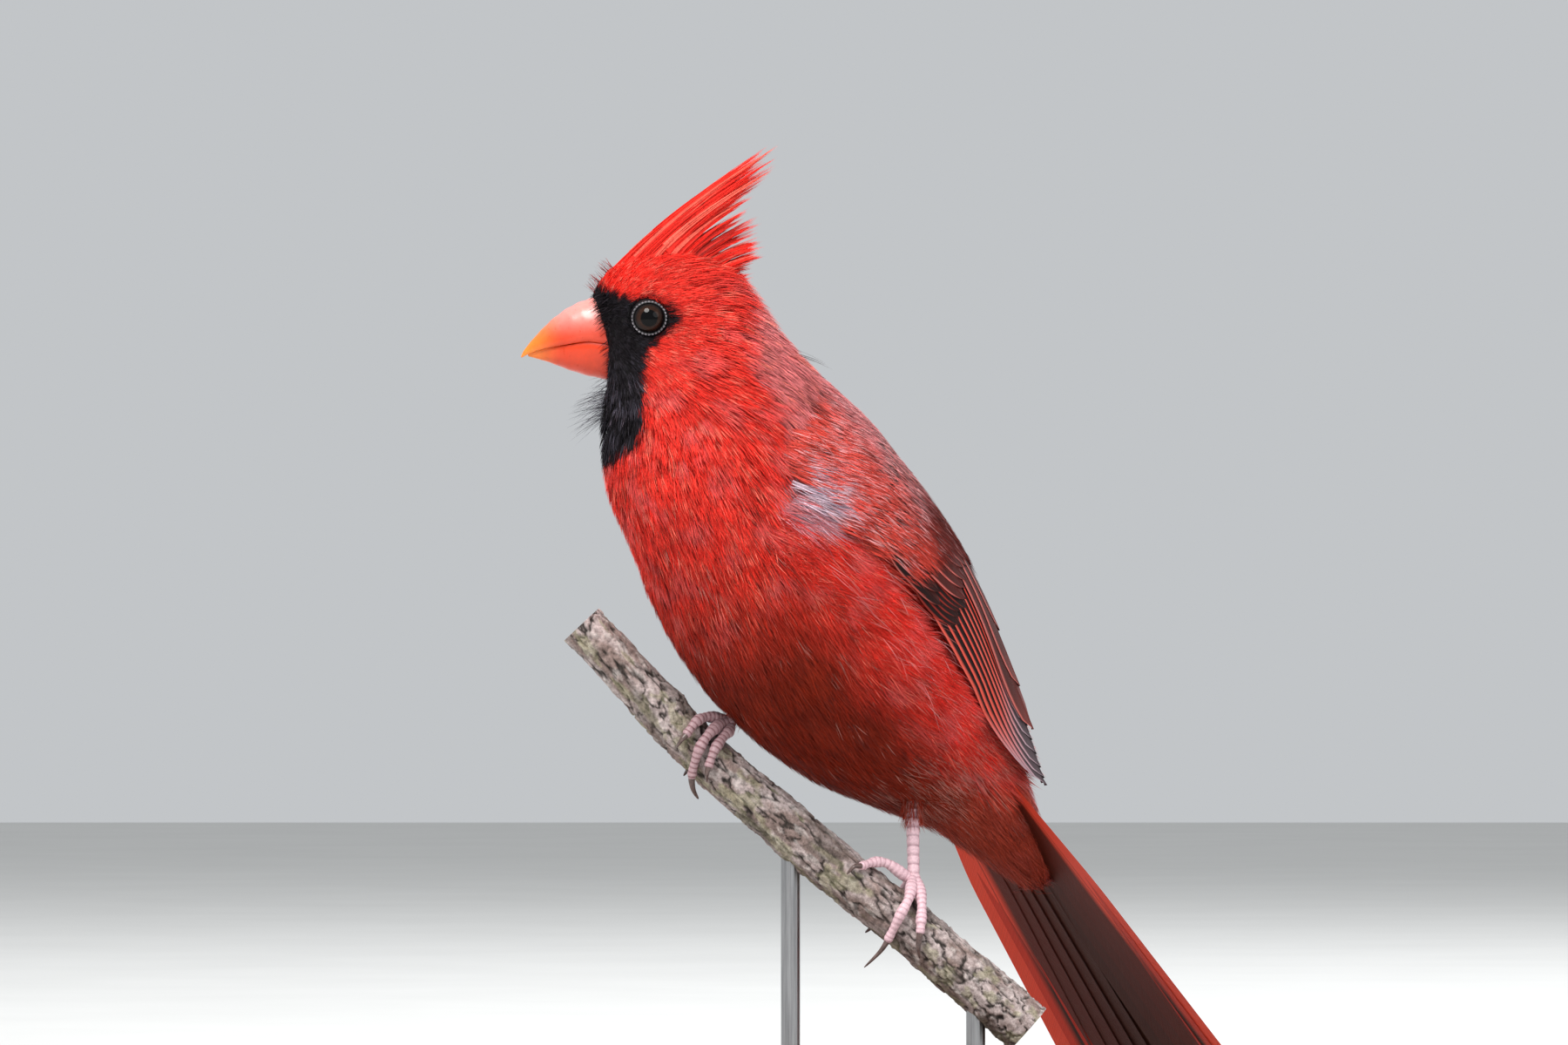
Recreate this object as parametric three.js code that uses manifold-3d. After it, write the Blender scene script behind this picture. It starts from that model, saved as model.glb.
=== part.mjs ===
// A male northern cardinal at life size, perched on a short cut length of branch that a plain stand holds.
// Millimetres, +Z up. The origin is the middle of the base's underside. The head points along -X,
// and the body is turned so that its left side and breast look towards -Y.

import * as THREE from 'three';
import { mergeVertices } from 'three/addons/utils/BufferGeometryUtils.js';
import Module from 'manifold-3d';

const wasm = await Module();
wasm.setup();

// Driving dimensions of the pose
const GAP = 0.3; // clearance between neighbouring pieces
const BODY_YAW = 35; // degrees that the trunk is turned from the head's heading
const NECK_AXIS_X = -39; // the upright line that the neck turns about
const NECK_AXIS_Y = -20.6;

// Sections of the head, neck and trunk, from the bill's base to the undertail coverts.
// u is forward from the neck's axis and w is the height of the section's middle. lean is how far the
// section's back edge leans rearward in degrees, deep and wide are its half sizes, and turn is the
// share of BODY_YAW that the section is turned by.
const SECTIONS = [
  { u: 17.8, w: 188.9, lean: -21, deep: 10.2, wide: 6.6, turn: 0 }, // 0 face at the bill
  { u: 17.4, w: 190.6, lean: 3, deep: 15.2, wide: 10.2, turn: 0 }, // 1 forehead and chin
  { u: 13.3, w: 190.2, lean: 17, deep: 20.4, wide: 13.2, turn: 0 }, // 2 eye
  { u: 8.0, w: 187.2, lean: 28, deep: 24.2, wide: 15.6, turn: 0 }, // 3 cheek
  { u: 3.4, w: 182.0, lean: 37, deep: 26.2, wide: 17.8, turn: 0.02 }, // 4 back of the head
  { u: -0.4, w: 175.6, lean: 45, deep: 27.0, wide: 20.4, turn: 0.12 }, // 5 upper neck
  { u: -5.0, w: 168.4, lean: 49, deep: 28.4, wide: 23.2, turn: 0.4 }, // 6 lower neck
  { u: -11.0, w: 160.6, lean: 47, deep: 30.0, wide: 25.6, turn: 0.75 }, // 7 neck's base
  { u: -17.2, w: 152.2, lean: 44, deep: 31.4, wide: 27.8, turn: 0.95 }, // 8 shoulders
  { u: -24.8, w: 142.5, lean: 44, deep: 32.7, wide: 29.4, turn: 1 }, // 9 upper breast
  { u: -32.8, w: 132.8, lean: 44, deep: 33.2, wide: 29.8, turn: 1 }, // 10 breast, the widest
  { u: -41.1, w: 123.3, lean: 44, deep: 32.2, wide: 28.8, turn: 1 }, // 11 belly
  { u: -49.7, w: 114.1, lean: 44, deep: 29.8, wide: 26.8, turn: 1 }, // 12 flanks
  { u: -58.2, w: 105.6, lean: 44, deep: 26.7, wide: 23.8, turn: 1 }, // 13 lower belly
  { u: -66.4, w: 98.4, lean: 45, deep: 22.6, wide: 20.2, turn: 1 }, // 14 thighs
  { u: -74.4, w: 92.4, lean: 46, deep: 18.4, wide: 16.8, turn: 1 }, // 15 vent
  { u: -81.6, w: 85.6, lean: 48, deep: 13.6, wide: 13.6, turn: 1 }, // 16 tail's root
  { u: -88.8, w: 77.6, lean: 50, deep: 9.8, wide: 11.2, turn: 1 }, // 17 tail coverts
  { u: -95.4, w: 69.6, lean: 51.6, deep: 6.0, wide: 8.2, turn: 1 }, // 18 longer coverts
  { u: -101.4, w: 62.0, lean: 51.6, deep: 2.4, wide: 4.6, turn: 1 }, // 19 coverts' tips
];
const HEAD_END = 4.55; // places on SECTIONS where the body is parted
const NECK_END = 7.6;
const PART_CUT = 0.1; // width of a part in section numbers
const BODY_SIDES = 24;
const BODY_STEPS_PER_SECTION = 2;
const ROUNDNESS = 0.92; // below 1 fills the corners of a section
const CREST_ROOM_PAST_HEAD = 1; // section numbers of the neck that are cut out of the crest too
const TRUNK_ROOM_START = 5; // section number where the room cut out of wings and tail begins
const WELD_DISTANCE = 1e-4;

// Crest: front and rear edge of each section as [u, w], and its half width
const CREST_SECTIONS = [
  { front: [16.4, 200.0], rear: [-13.0, 190.0], wide: 9.0 },
  { front: [16.2, 206.2], rear: [-15.0, 201.0], wide: 8.6 },
  { front: [11.4, 210.0], rear: [-15.8, 207.4], wide: 6.8 },
  { front: [4.4, 216.4], rear: [-15.0, 212.6], wide: 4.8 },
  { front: [-3.2, 223.2], rear: [-13.8, 218.6], wide: 3.2 },
  { front: [-10.0, 228.4], rear: [-16.4, 224.8], wide: 1.9 },
  { front: [-15.6, 231.8], rear: [-18.8, 229.8], wide: 0.8 },
];
const CREST_TIP = [-19.2, 232.4];
const CREST_SIDES = 14;

// Bill: ridge and mouth line of the upper mandible, mouth line and keel of the lower one
const UPPER_BILL = [
  { top: [21.6, 198.0], bottom: [16.9, 187.7], wide: 6.4 },
  { top: [25.7, 196.3], bottom: [21.8, 188.3], wide: 5.7 },
  { top: [29.9, 193.3], bottom: [26.8, 187.6], wide: 4.3 },
  { top: [33.6, 189.6], bottom: [31.4, 186.7], wide: 2.5 },
  { top: [36.2, 186.4], bottom: [34.9, 185.6], wide: 0.9 },
];
const UPPER_BILL_TIP = [37.0, 184.6];
const LOWER_BILL = [
  { top: [16.7, 187.2], bottom: [14.0, 179.2], wide: 6.1 },
  { top: [21.6, 187.8], bottom: [20.6, 180.2], wide: 5.3 },
  { top: [26.6, 187.1], bottom: [26.0, 181.8], wide: 3.9 },
  { top: [31.2, 186.2], bottom: [30.8, 183.6], wide: 2.0 },
];
const LOWER_BILL_TIP = [35.0, 184.9];
const BILL_SIDES = 16;
const BILL_STEPS_PER_SECTION = 2;

// Eyes
const EYE_PLACE = { u: 7.6, w: 193.4 };
const EYE_SECTION = 2.3; // section number whose half width is the head's side at the eye
const EYE_RADIUS = 4.2;
const EYE_STANDS_OUT = 1.3; // how far the eye's front passes the side of the head
const EYE_SEGMENTS = 14;

// Folded wing: sections along the trunk. place is a section number of the trunk's line, wide and deep
// are the half sizes of the wing's outer side there, and from and to are the edges' angles up from
// the flank in degrees.
const WING_SECTIONS = [
  { place: 7.5, wide: 27.6, deep: 31.0, from: 8, to: 24, thick: 1.4 },
  { place: 8.0, wide: 29.6, deep: 32.6, from: -1, to: 38, thick: 2.6 },
  { place: 9.0, wide: 31.6, deep: 34.4, from: -1, to: 52, thick: 3.2 },
  { place: 10.4, wide: 32.4, deep: 35.2, from: 3, to: 62, thick: 3.4 },
  { place: 11.8, wide: 30.6, deep: 33.4, from: 8, to: 71, thick: 3.4 },
  { place: 13.0, wide: 27.2, deep: 30.0, from: 12, to: 79, thick: 3.2 },
  { place: 14.1, wide: 23.4, deep: 26.0, from: 15, to: 83, thick: 3.0 },
  { place: 15.1, wide: 20.4, deep: 22.0, from: 18, to: 78, thick: 2.6 },
  { place: 16.0, wide: 18.2, deep: 19.0, from: 22, to: 60, thick: 2.0 },
  { place: 16.8, wide: 15.6, deep: 16.0, from: 24, to: 34, thick: 1.0 },
];
const WING_STEPS_PER_SECTION = 2;
const WING_BAND_POINTS = 7; // points across the wing's outer side
const WING_EDGE_SHARE = 0.06; // share of the band that is taken up by each rounded edge

// Tail: overlapping feathers fanned from the tail's root
const TAIL_ROOT = { u: -80.5, w: 90.0 };
const TAIL_PITCH = 51.6; // degrees below level
const TAIL_FEATHERS_PER_SIDE = 6;
const TAIL_FAN = 9.6; // degrees from the middle to the outermost feather
const TAIL_FEATHER_LENGTH = 103;
const TAIL_OUTER_SHORTER = 5; // how much shorter the outermost feather is
const TAIL_FEATHER_WIDTH = 12.6;
const TAIL_SHAFT_STEP = 2.5; // sideways step of the roots from one feather to the next
const TAIL_FEATHER_THICK = 0.8;
const TAIL_STACK_STEP = 0.42; // each feather lies this much below its inner neighbour
const TAIL_FEATHER_ROOT_SHARE = 0.4; // the feather's width at its root, as a share of its greatest
const TAIL_FEATHER_SWELL = 0.35; // share of its length at which a feather is widest
const TAIL_FAN_START = 0.3; // feather numbers from the middle line to the first feather
const TAIL_CAMBER = 1.2; // degrees that each feather is rolled down past its inner neighbour

// Branch: a line in the plane y = 0 as [x, z], with its radius
const BRANCH_LINE = [
  { x: -62.5, z: 123.6, r: 5.1 },
  { x: -48.8, z: 109.0, r: 5.25 },
  { x: -39.8, z: 99.0, r: 5.35 },
  { x: -28.0, z: 87.8, r: 5.5 },
  { x: -15.2, z: 77.2, r: 5.6 },
  { x: -2.4, z: 66.0, r: 5.7 },
  { x: 13.0, z: 53.8, r: 5.85 },
  { x: 23.2, z: 45.0, r: 5.9 },
  { x: 33.0, z: 36.8, r: 5.95 },
  { x: 40.0, z: 30.6, r: 6.0 },
];
const BRANCH_SIDES = 16;
const BRANCH_STEPS = 22;
const BRANCH_KNOTS = [
  { at: 0.17, turn: 20, height: 0.9, reach: 0.03 },
  { at: 0.47, turn: 160, height: 0.7, reach: 0.04 },
  { at: 0.9, turn: -60, height: 1.0, reach: 0.035 },
];
const KNOT_WRAP = 40; // degrees round the branch that a knot reaches
const SEARCH_ROUNDS = 30; // halvings that find a place on the branch

// Feet: x is the foot's place on the branch. Each toe's path is a row of [along, wrap, out]:
// millimetres down the branch from the foot's place, degrees round the branch from its top towards
// the front, and millimetres from the bark to the toe's middle. The claw follows the toe.
const FEET = {
  left: {
    x: 7.8,
    joint: [0, -2, 3.9],
    toes: [
      {
        path: [[-1.2, 4, 3.0], [-6.6, 14, 3.0], [-9.4, 26, 1.9], [-11.0, 50, 1.5]],
        claw: [[-12.4, 66, 2.2], [-12.6, 84, 1.6]],
      },
      {
        path: [[0.5, 12, 2.8], [2.0, 48, 1.9], [2.8, 84, 1.6], [4.0, 128, 1.7]],
        claw: [[4.4, 146, 4.2], [3.8, 160, 8.6]],
      },
      {
        path: [[1.9, 8, 3.2], [5.0, 38, 1.9], [7.4, 68, 1.5], [8.4, 80, 1.5]],
        claw: [[10.4, 104, 2.1], [12.4, 121, 1.5]],
      },
      {
        path: [[0.2, -20, 3.0], [0.4, -56, 2.0], [0.2, -92, 1.7], [0.0, -112, 1.7]],
        claw: [[-0.4, -132, 2.6], [-0.8, -152, 2.4]],
      },
    ],
  },
  right: {
    x: -35.1,
    joint: [0, 0, 4.3],
    toes: [
      {
        path: [[-2.2, 4, 3.2], [-4.8, 26, 1.9], [-5.6, 52, 1.6], [-5.2, 82, 1.5]],
        claw: [[-5.0, 100, 2.2], [-4.6, 118, 1.5]],
      },
      {
        path: [[-1.2, 14, 2.6], [-1.5, 56, 1.7], [-0.6, 90, 1.6], [2.0, 134, 1.7]],
        claw: [[4.4, 152, 2.8], [7.0, 168, 3.0]],
      },
      {
        path: [[1.3, 10, 3.0], [1.4, 30, 1.9], [1.9, 66, 1.5], [3.4, 96, 1.5]],
        claw: [[4.6, 112, 2.1], [5.8, 126, 1.5]],
      },
      {
        path: [[0.4, -20, 3.0], [0.6, -54, 2.0], [0.6, -90, 1.7], [0.6, -110, 1.7]],
        claw: [[0.8, -130, 2.6], [1.0, -150, 2.4]],
      },
    ],
  },
};
const TOE_ROOT_RADIUS = 1.35;
const TOE_TIP_RADIUS = 1.05;
const CLAW_ROOT_RADIUS = 0.84;
const CLAW_TIP_RADIUS = 0.3;
const TOE_SHARE = 0.72; // share of toe and claw that is toe
const JOINT_RADIUS = 1.9;
const JOINT_SEGMENTS = 10;
const JOINT_RINGS = 6;
const TOE_SIDES = 6;
const TOE_STEPS = 9;

// Legs: from the foot's joint into the belly, as [u, v, w] of the upper end
const LEG_TOPS = {
  left: [-61.5, 3.6, 92.0],
  right: [-32.5, -8.0, 113.0],
};
const LEG_RADIUS_FOOT = 1.45;
const LEG_RADIUS_TOP = 1.9;
const LEG_SIDES = 10;
const LEG_STEPS = 5;

// Display stand
const BASE_LENGTH = 140;
const BASE_DEPTH = 104;
const BASE_THICK = 12;
const BASE_CORNER = 10;
const BASE_BEVEL = 1.5;
const ROD_RADIUS = 2.2;
const ROD_SIDES = 16;
const ROD_SOCKET = 7; // depth of the rod's hole in the base
const ROD_IN_BRANCH = 3.2; // how far the rod's top passes the branch's lower side
const ROD_PLACES = { stand_rod_upper: -14.5, stand_rod_lower: 28.0 };

const radians = THREE.MathUtils.degToRad;
const lerp = THREE.MathUtils.lerp;

const bird = new THREE.Group();

// Materials
function paint(color, roughness, metalness = 0) {
  return new THREE.MeshStandardMaterial({ color, roughness, metalness });
}
const FINISH = {
  plumage: () => paint(0xc8281f, 0.75),
  wing: () => paint(0x8c2a26, 0.7),
  tail: () => paint(0x7a2a24, 0.7),
  bill: () => paint(0xe65a28, 0.35),
  eye: () => paint(0x0e0a0a, 0.08),
  leg: () => paint(0xbb8f95, 0.55),
  bark: () => paint(0x8f8378, 0.9),
  wood: () => paint(0x3a2a20, 0.45),
  steel: () => paint(0x9a9a9c, 0.35, 0.9),
};

function addPiece(name, geometry, finish) {
  const mesh = new THREE.Mesh(geometry, FINISH[finish]());
  mesh.name = name;
  bird.add(mesh);
  return mesh;
}

// Solids and geometry
function toSolid(geometry) {
  const bare = new THREE.BufferGeometry();
  bare.setAttribute('position', geometry.getAttribute('position'));
  if (geometry.index) bare.setIndex(geometry.index);
  const merged = mergeVertices(bare, WELD_DISTANCE);
  return new wasm.Manifold(
    new wasm.Mesh({
      numProp: 3,
      vertProperties: new Float32Array(merged.getAttribute('position').array),
      triVerts: new Uint32Array(merged.index.array),
    }),
  );
}

function largestPiece(solid) {
  const pieces = solid.decompose();
  return pieces.reduce((best, piece) => (piece.volume() > best.volume() ? piece : best));
}

function toGeometry(solid) {
  const mesh = largestPiece(solid).getMesh();
  const geometry = new THREE.BufferGeometry();
  geometry.setAttribute('position', new THREE.BufferAttribute(new Float32Array(mesh.vertProperties), 3));
  geometry.setIndex(new THREE.BufferAttribute(new Uint32Array(mesh.triVerts), 1));
  geometry.computeVertexNormals();
  return geometry;
}

function signedVolume(points, faces) {
  let volume = 0;
  for (const [a, b, c] of faces) {
    volume += points[a].dot(new THREE.Vector3().crossVectors(points[b], points[c])) / 6;
  }
  return volume;
}

// A closed skin over a row of rings with the same number of points, each end closed by a fan
function loft(rings, startTip = null, endTip = null) {
  const sides = rings[0].length;
  const points = rings.flat();
  const faces = [];
  for (let ring = 0; ring < rings.length - 1; ring++) {
    for (let side = 0; side < sides; side++) {
      const here = ring * sides + side;
      const next = ring * sides + ((side + 1) % sides);
      faces.push([here, next, here + sides], [next, next + sides, here + sides]);
    }
  }
  const ends = [
    { ring: 0, tip: startTip, flip: true },
    { ring: rings.length - 1, tip: endTip, flip: false },
  ];
  for (const { ring, tip, flip } of ends) {
    const middle = tip ?? middleOf(rings[ring]);
    const hub = points.push(middle) - 1;
    for (let side = 0; side < sides; side++) {
      const here = ring * sides + side;
      const next = ring * sides + ((side + 1) % sides);
      faces.push(flip ? [next, here, hub] : [here, next, hub]);
    }
  }
  if (signedVolume(points, faces) < 0) {
    for (const face of faces) face.reverse();
  }
  const geometry = new THREE.BufferGeometry().setFromPoints(points);
  geometry.setIndex(faces.flat());
  geometry.computeVertexNormals();
  return geometry;
}

function middleOf(ring) {
  const middle = new THREE.Vector3();
  for (const point of ring) middle.add(point);
  return middle.divideScalar(ring.length);
}

// A field's value at a fractional section number, on a smooth curve through the sections
function smooth(sections, field, place) {
  const knots = sections.map((section, index) => new THREE.Vector2(index, section[field]));
  const last = sections.length - 1;
  return new THREE.SplineCurve(knots).getPoint(THREE.MathUtils.clamp(place / last, 0, 1)).y;
}

// From the bird's own frame (u forward, v to its left, w up) to the model's, turned about the neck's axis
function place(u, v, w, turn = 1) {
  const yaw = radians(BODY_YAW * turn);
  return new THREE.Vector3(
    NECK_AXIS_X - u * Math.cos(yaw) + v * Math.sin(yaw),
    NECK_AXIS_Y - u * Math.sin(yaw) - v * Math.cos(yaw),
    w,
  );
}

function roundedPower(value) {
  return Math.sign(value) * Math.abs(value) ** ROUNDNESS;
}

// Head, neck and trunk
function bodyLine(at) {
  const last = SECTIONS.length - 1;
  const inside = Math.min(at, last);
  const section = {};
  for (const field of ['u', 'w', 'lean', 'deep', 'wide', 'turn']) {
    section[field] = smooth(SECTIONS, field, inside);
  }
  return section;
}

function bodyRing(at, grow = 0) {
  const { u, w, lean, deep, wide, turn } = bodyLine(at);
  const tilt = radians(lean);
  const ring = [];
  for (let side = 0; side < BODY_SIDES; side++) {
    const angle = (2 * Math.PI * side) / BODY_SIDES;
    const out = (wide + grow) * roundedPower(Math.cos(angle));
    const up = (deep + grow) * roundedPower(Math.sin(angle));
    ring.push(place(u - Math.sin(tilt) * up, out, w + Math.cos(tilt) * up, turn));
  }
  return ring;
}

// The way that a section faces, towards the bill
function bodyHeading(at) {
  const { lean, turn } = bodyLine(at);
  const tilt = radians(lean);
  return place(Math.cos(tilt), 0, Math.sin(tilt), turn).sub(place(0, 0, 0, turn));
}

function bodyStretch(from, to, grow = 0) {
  const steps = Math.ceil((to - from) * BODY_STEPS_PER_SECTION);
  const rings = [];
  for (let step = 0; step <= steps; step++) {
    rings.push(bodyRing(lerp(from, to, step / steps), grow));
  }
  if (grow > 0) {
    const ahead = bodyHeading(from).multiplyScalar(grow);
    const behind = bodyHeading(to).multiplyScalar(-grow);
    rings.unshift(rings[0].map((point) => point.clone().add(ahead)));
    rings.push(rings[rings.length - 1].map((point) => point.clone().add(behind)));
  }
  return loft(rings);
}

// A section between two points of the mid-plane, thickest half way
function edgeRing(front, rear, wide, sides) {
  const middle = [(front[0] + rear[0]) / 2, (front[1] + rear[1]) / 2];
  const reach = [(front[0] - rear[0]) / 2, (front[1] - rear[1]) / 2];
  const ring = [];
  for (let side = 0; side < sides; side++) {
    const angle = (2 * Math.PI * side) / sides;
    const share = Math.cos(angle);
    ring.push(place(middle[0] + reach[0] * share, wide * Math.sin(angle), middle[1] + reach[1] * share, 0));
  }
  return ring;
}

function crestShape() {
  const rings = CREST_SECTIONS.map(({ front, rear, wide }) => edgeRing(front, rear, wide, CREST_SIDES));
  return loft(rings, null, place(CREST_TIP[0], 0, CREST_TIP[1], 0));
}

// Bill
function billRing(sections, at, outward) {
  const flat = sections.map(({ top, bottom, wide }) => ({
    topU: top[0],
    topW: top[1],
    bottomU: bottom[0],
    bottomW: bottom[1],
    wide,
  }));
  const value = (field) => smooth(flat, field, at);
  const mouth = outward > 0 ? [value('bottomU'), value('bottomW')] : [value('topU'), value('topW')];
  const ridge = outward > 0 ? [value('topU'), value('topW')] : [value('bottomU'), value('bottomW')];
  const ring = [];
  for (let side = 0; side < BILL_SIDES; side++) {
    const angle = (2 * Math.PI * side) / BILL_SIDES;
    const lift = Math.max(Math.sin(angle), 0);
    const u = mouth[0] + (ridge[0] - mouth[0]) * lift;
    const w = mouth[1] + (ridge[1] - mouth[1]) * lift;
    ring.push(place(u, value('wide') * Math.cos(angle), w, 0));
  }
  return ring;
}

function mandible(sections, tip, outward) {
  const steps = (sections.length - 1) * BILL_STEPS_PER_SECTION;
  const rings = [];
  for (let step = 0; step <= steps; step++) {
    rings.push(billRing(sections, step / BILL_STEPS_PER_SECTION, outward));
  }
  return loft(rings, null, place(tip[0], 0, tip[1], 0));
}

// Eyes
function eyeMiddle(side) {
  const cheek = bodyLine(EYE_SECTION);
  return place(EYE_PLACE.u, side * (cheek.wide + EYE_STANDS_OUT - EYE_RADIUS), EYE_PLACE.w, 0);
}

function eyeball(side, grow = 0) {
  const geometry = new THREE.SphereGeometry(EYE_RADIUS + grow, EYE_SEGMENTS, EYE_SEGMENTS / 2);
  const middle = eyeMiddle(side);
  geometry.rotateX(Math.PI / 2);
  return geometry.translate(middle.x, middle.y, middle.z);
}

// Wings
function trunkPoint(at, out, up) {
  const last = SECTIONS.length - 1;
  const line = bodyLine(at);
  const past = Math.max(at - last, 0);
  const end = SECTIONS[last];
  const before = SECTIONS[last - 1];
  const u = line.u + past * (end.u - before.u);
  const w = line.w + past * (end.w - before.w);
  const tilt = radians(line.lean);
  return place(u - Math.sin(tilt) * up, out, w + Math.cos(tilt) * up, line.turn);
}

function wingRing(at, side) {
  const value = (field) => smooth(WING_SECTIONS, field, at);
  const bandPoint = (angle, inward) =>
    trunkPoint(
      value('place'),
      side * (value('wide') - inward) * Math.cos(angle),
      (value('deep') - inward) * Math.sin(angle),
    );
  const outer = [];
  const inner = [];
  for (let step = 0; step < WING_BAND_POINTS; step++) {
    const share = step / (WING_BAND_POINTS - 1);
    const angle = radians(lerp(value('from'), value('to'), share));
    const inside = THREE.MathUtils.clamp(share, WING_EDGE_SHARE, 1 - WING_EDGE_SHARE);
    const fullness = Math.sqrt(Math.sin(Math.PI * inside));
    const half = value('thick') / 2;
    outer.push(bandPoint(angle, (1 - fullness) * half));
    inner.push(bandPoint(angle, (1 + fullness) * half));
  }
  return outer.concat(inner.reverse());
}

function foldedWing(side) {
  const steps = (WING_SECTIONS.length - 1) * WING_STEPS_PER_SECTION;
  const rings = [];
  for (let step = 0; step <= steps; step++) {
    rings.push(wingRing(step / WING_STEPS_PER_SECTION, side));
  }
  return loft(rings);
}

// Tail
function tailFeather(number, side) {
  const share = number / (TAIL_FEATHERS_PER_SIDE - 1);
  const length = TAIL_FEATHER_LENGTH - TAIL_OUTER_SHORTER * share ** 2;
  const half = TAIL_FEATHER_WIDTH / 2;
  const outline = new THREE.Shape();
  outline.moveTo(0, -half * TAIL_FEATHER_ROOT_SHARE);
  outline.lineTo(length * TAIL_FEATHER_SWELL, -half);
  outline.lineTo(length - half, -half);
  outline.quadraticCurveTo(length, -half, length, 0);
  outline.quadraticCurveTo(length, half, length - half, half);
  outline.lineTo(length * TAIL_FEATHER_SWELL, half);
  outline.lineTo(0, half * TAIL_FEATHER_ROOT_SHARE);
  const outermost = TAIL_FEATHERS_PER_SIDE - 1 + TAIL_FAN_START;
  const fan = radians((TAIL_FAN * (number + TAIL_FAN_START)) / outermost);
  const vane = new THREE.ExtrudeGeometry(outline, {
    depth: TAIL_FEATHER_THICK,
    bevelEnabled: false,
    curveSegments: 2,
  });
  vane.rotateX(side * radians(TAIL_CAMBER * number));
  vane.rotateZ(-side * fan);
  vane.translate(0, -side * TAIL_SHAFT_STEP * (number + 0.5), -TAIL_STACK_STEP * number);
  return toSolid(vane);
}

function tailFan() {
  let fan = null;
  for (const side of [1, -1]) {
    for (let number = 0; number < TAIL_FEATHERS_PER_SIDE; number++) {
      const feather = tailFeather(number, side);
      fan = fan ? fan.add(feather) : feather;
    }
  }
  const geometry = toGeometry(fan);
  geometry.rotateY(radians(TAIL_PITCH));
  geometry.rotateZ(radians(BODY_YAW));
  const root = place(TAIL_ROOT.u, 0, TAIL_ROOT.w);
  return geometry.translate(root.x, root.y, root.z);
}

// Branch
const branchCurve = new THREE.CatmullRomCurve3(BRANCH_LINE.map(({ x, z }) => new THREE.Vector3(x, 0, z)));

function branchRadius(share) {
  return smooth(BRANCH_LINE, 'r', share * (BRANCH_LINE.length - 1));
}

// A point near the branch: share of its length, degrees round it from the top towards -Y, and distance
function roundBranch(share, wrap, distance) {
  const middle = branchCurve.getPoint(share);
  const tangent = branchCurve.getTangent(share);
  const top = new THREE.Vector3(-tangent.z, 0, tangent.x);
  if (top.z < 0) top.negate();
  const front = new THREE.Vector3(0, -1, 0);
  const angle = radians(wrap);
  middle.addScaledVector(top, distance * Math.cos(angle));
  return middle.addScaledVector(front, distance * Math.sin(angle));
}

function knotHeight(share, wrap) {
  let height = 0;
  for (const knot of BRANCH_KNOTS) {
    const around = THREE.MathUtils.euclideanModulo(wrap - knot.turn + 180, 360) - 180;
    height += knot.height * Math.exp(-(((share - knot.at) / knot.reach) ** 2) - (around / KNOT_WRAP) ** 2);
  }
  return height;
}

function branchShape(grow = 0) {
  const rings = [];
  for (let step = 0; step <= BRANCH_STEPS; step++) {
    const share = step / BRANCH_STEPS;
    const ring = [];
    for (let side = 0; side < BRANCH_SIDES; side++) {
      const wrap = (360 * side) / BRANCH_SIDES;
      ring.push(roundBranch(share, wrap, branchRadius(share) + knotHeight(share, wrap) + grow));
    }
    rings.push(ring);
  }
  return loft(rings);
}

// Feet and legs
function shareAt(x) {
  let low = 0;
  let high = 1;
  for (let round = 0; round < SEARCH_ROUNDS; round++) {
    const middle = (low + high) / 2;
    if (branchCurve.getPoint(middle).x < x) low = middle;
    else high = middle;
  }
  return low;
}

function onBranch(foot, [along, wrap, out]) {
  const start = shareAt(foot.x);
  const slope = branchCurve.getTangent(start);
  const share = shareAt(foot.x + along * slope.x);
  return roundBranch(share, wrap, branchRadius(share) + out);
}

function taperedTube(points, radiusAt, sides, steps) {
  const curve = new THREE.CatmullRomCurve3(points);
  const frames = curve.computeFrenetFrames(steps, false);
  const rings = [];
  for (let step = 0; step <= steps; step++) {
    const share = step / steps;
    const middle = curve.getPointAt(share);
    const ring = [];
    for (let side = 0; side < sides; side++) {
      const angle = (2 * Math.PI * side) / sides;
      const point = middle.clone();
      point.addScaledVector(frames.normals[step], radiusAt(share) * Math.cos(angle));
      ring.push(point.addScaledVector(frames.binormals[step], radiusAt(share) * Math.sin(angle)));
    }
    rings.push(ring);
  }
  return loft(rings);
}

function toeRadius(share) {
  if (share < TOE_SHARE) return lerp(TOE_ROOT_RADIUS, TOE_TIP_RADIUS, share / TOE_SHARE);
  return lerp(CLAW_ROOT_RADIUS, CLAW_TIP_RADIUS, (share - TOE_SHARE) / (1 - TOE_SHARE));
}

function footSolid(foot, grow = 0) {
  const joint = onBranch(foot, foot.joint);
  const ball = new THREE.SphereGeometry(JOINT_RADIUS + grow, JOINT_SEGMENTS, JOINT_RINGS);
  let solid = toSolid(ball.translate(joint.x, joint.y, joint.z));
  for (const { path, claw } of foot.toes) {
    const points = [joint].concat(path.concat(claw).map((spot) => onBranch(foot, spot)));
    const toe = taperedTube(points, (share) => toeRadius(share) + grow, TOE_SIDES, TOE_STEPS);
    solid = solid.add(toSolid(toe));
  }
  return solid;
}

function legShape(side, grow = 0) {
  const foot = FEET[side];
  const joint = onBranch(foot, foot.joint);
  const [u, v, w] = LEG_TOPS[side];
  const top = place(u, v, w);
  const radiusAt = (share) => lerp(LEG_RADIUS_FOOT, LEG_RADIUS_TOP, share ** 2) + grow;
  const middle = joint.clone().add(top).divideScalar(2);
  return taperedTube([joint, middle, top], radiusAt, LEG_SIDES, LEG_STEPS);
}

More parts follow.
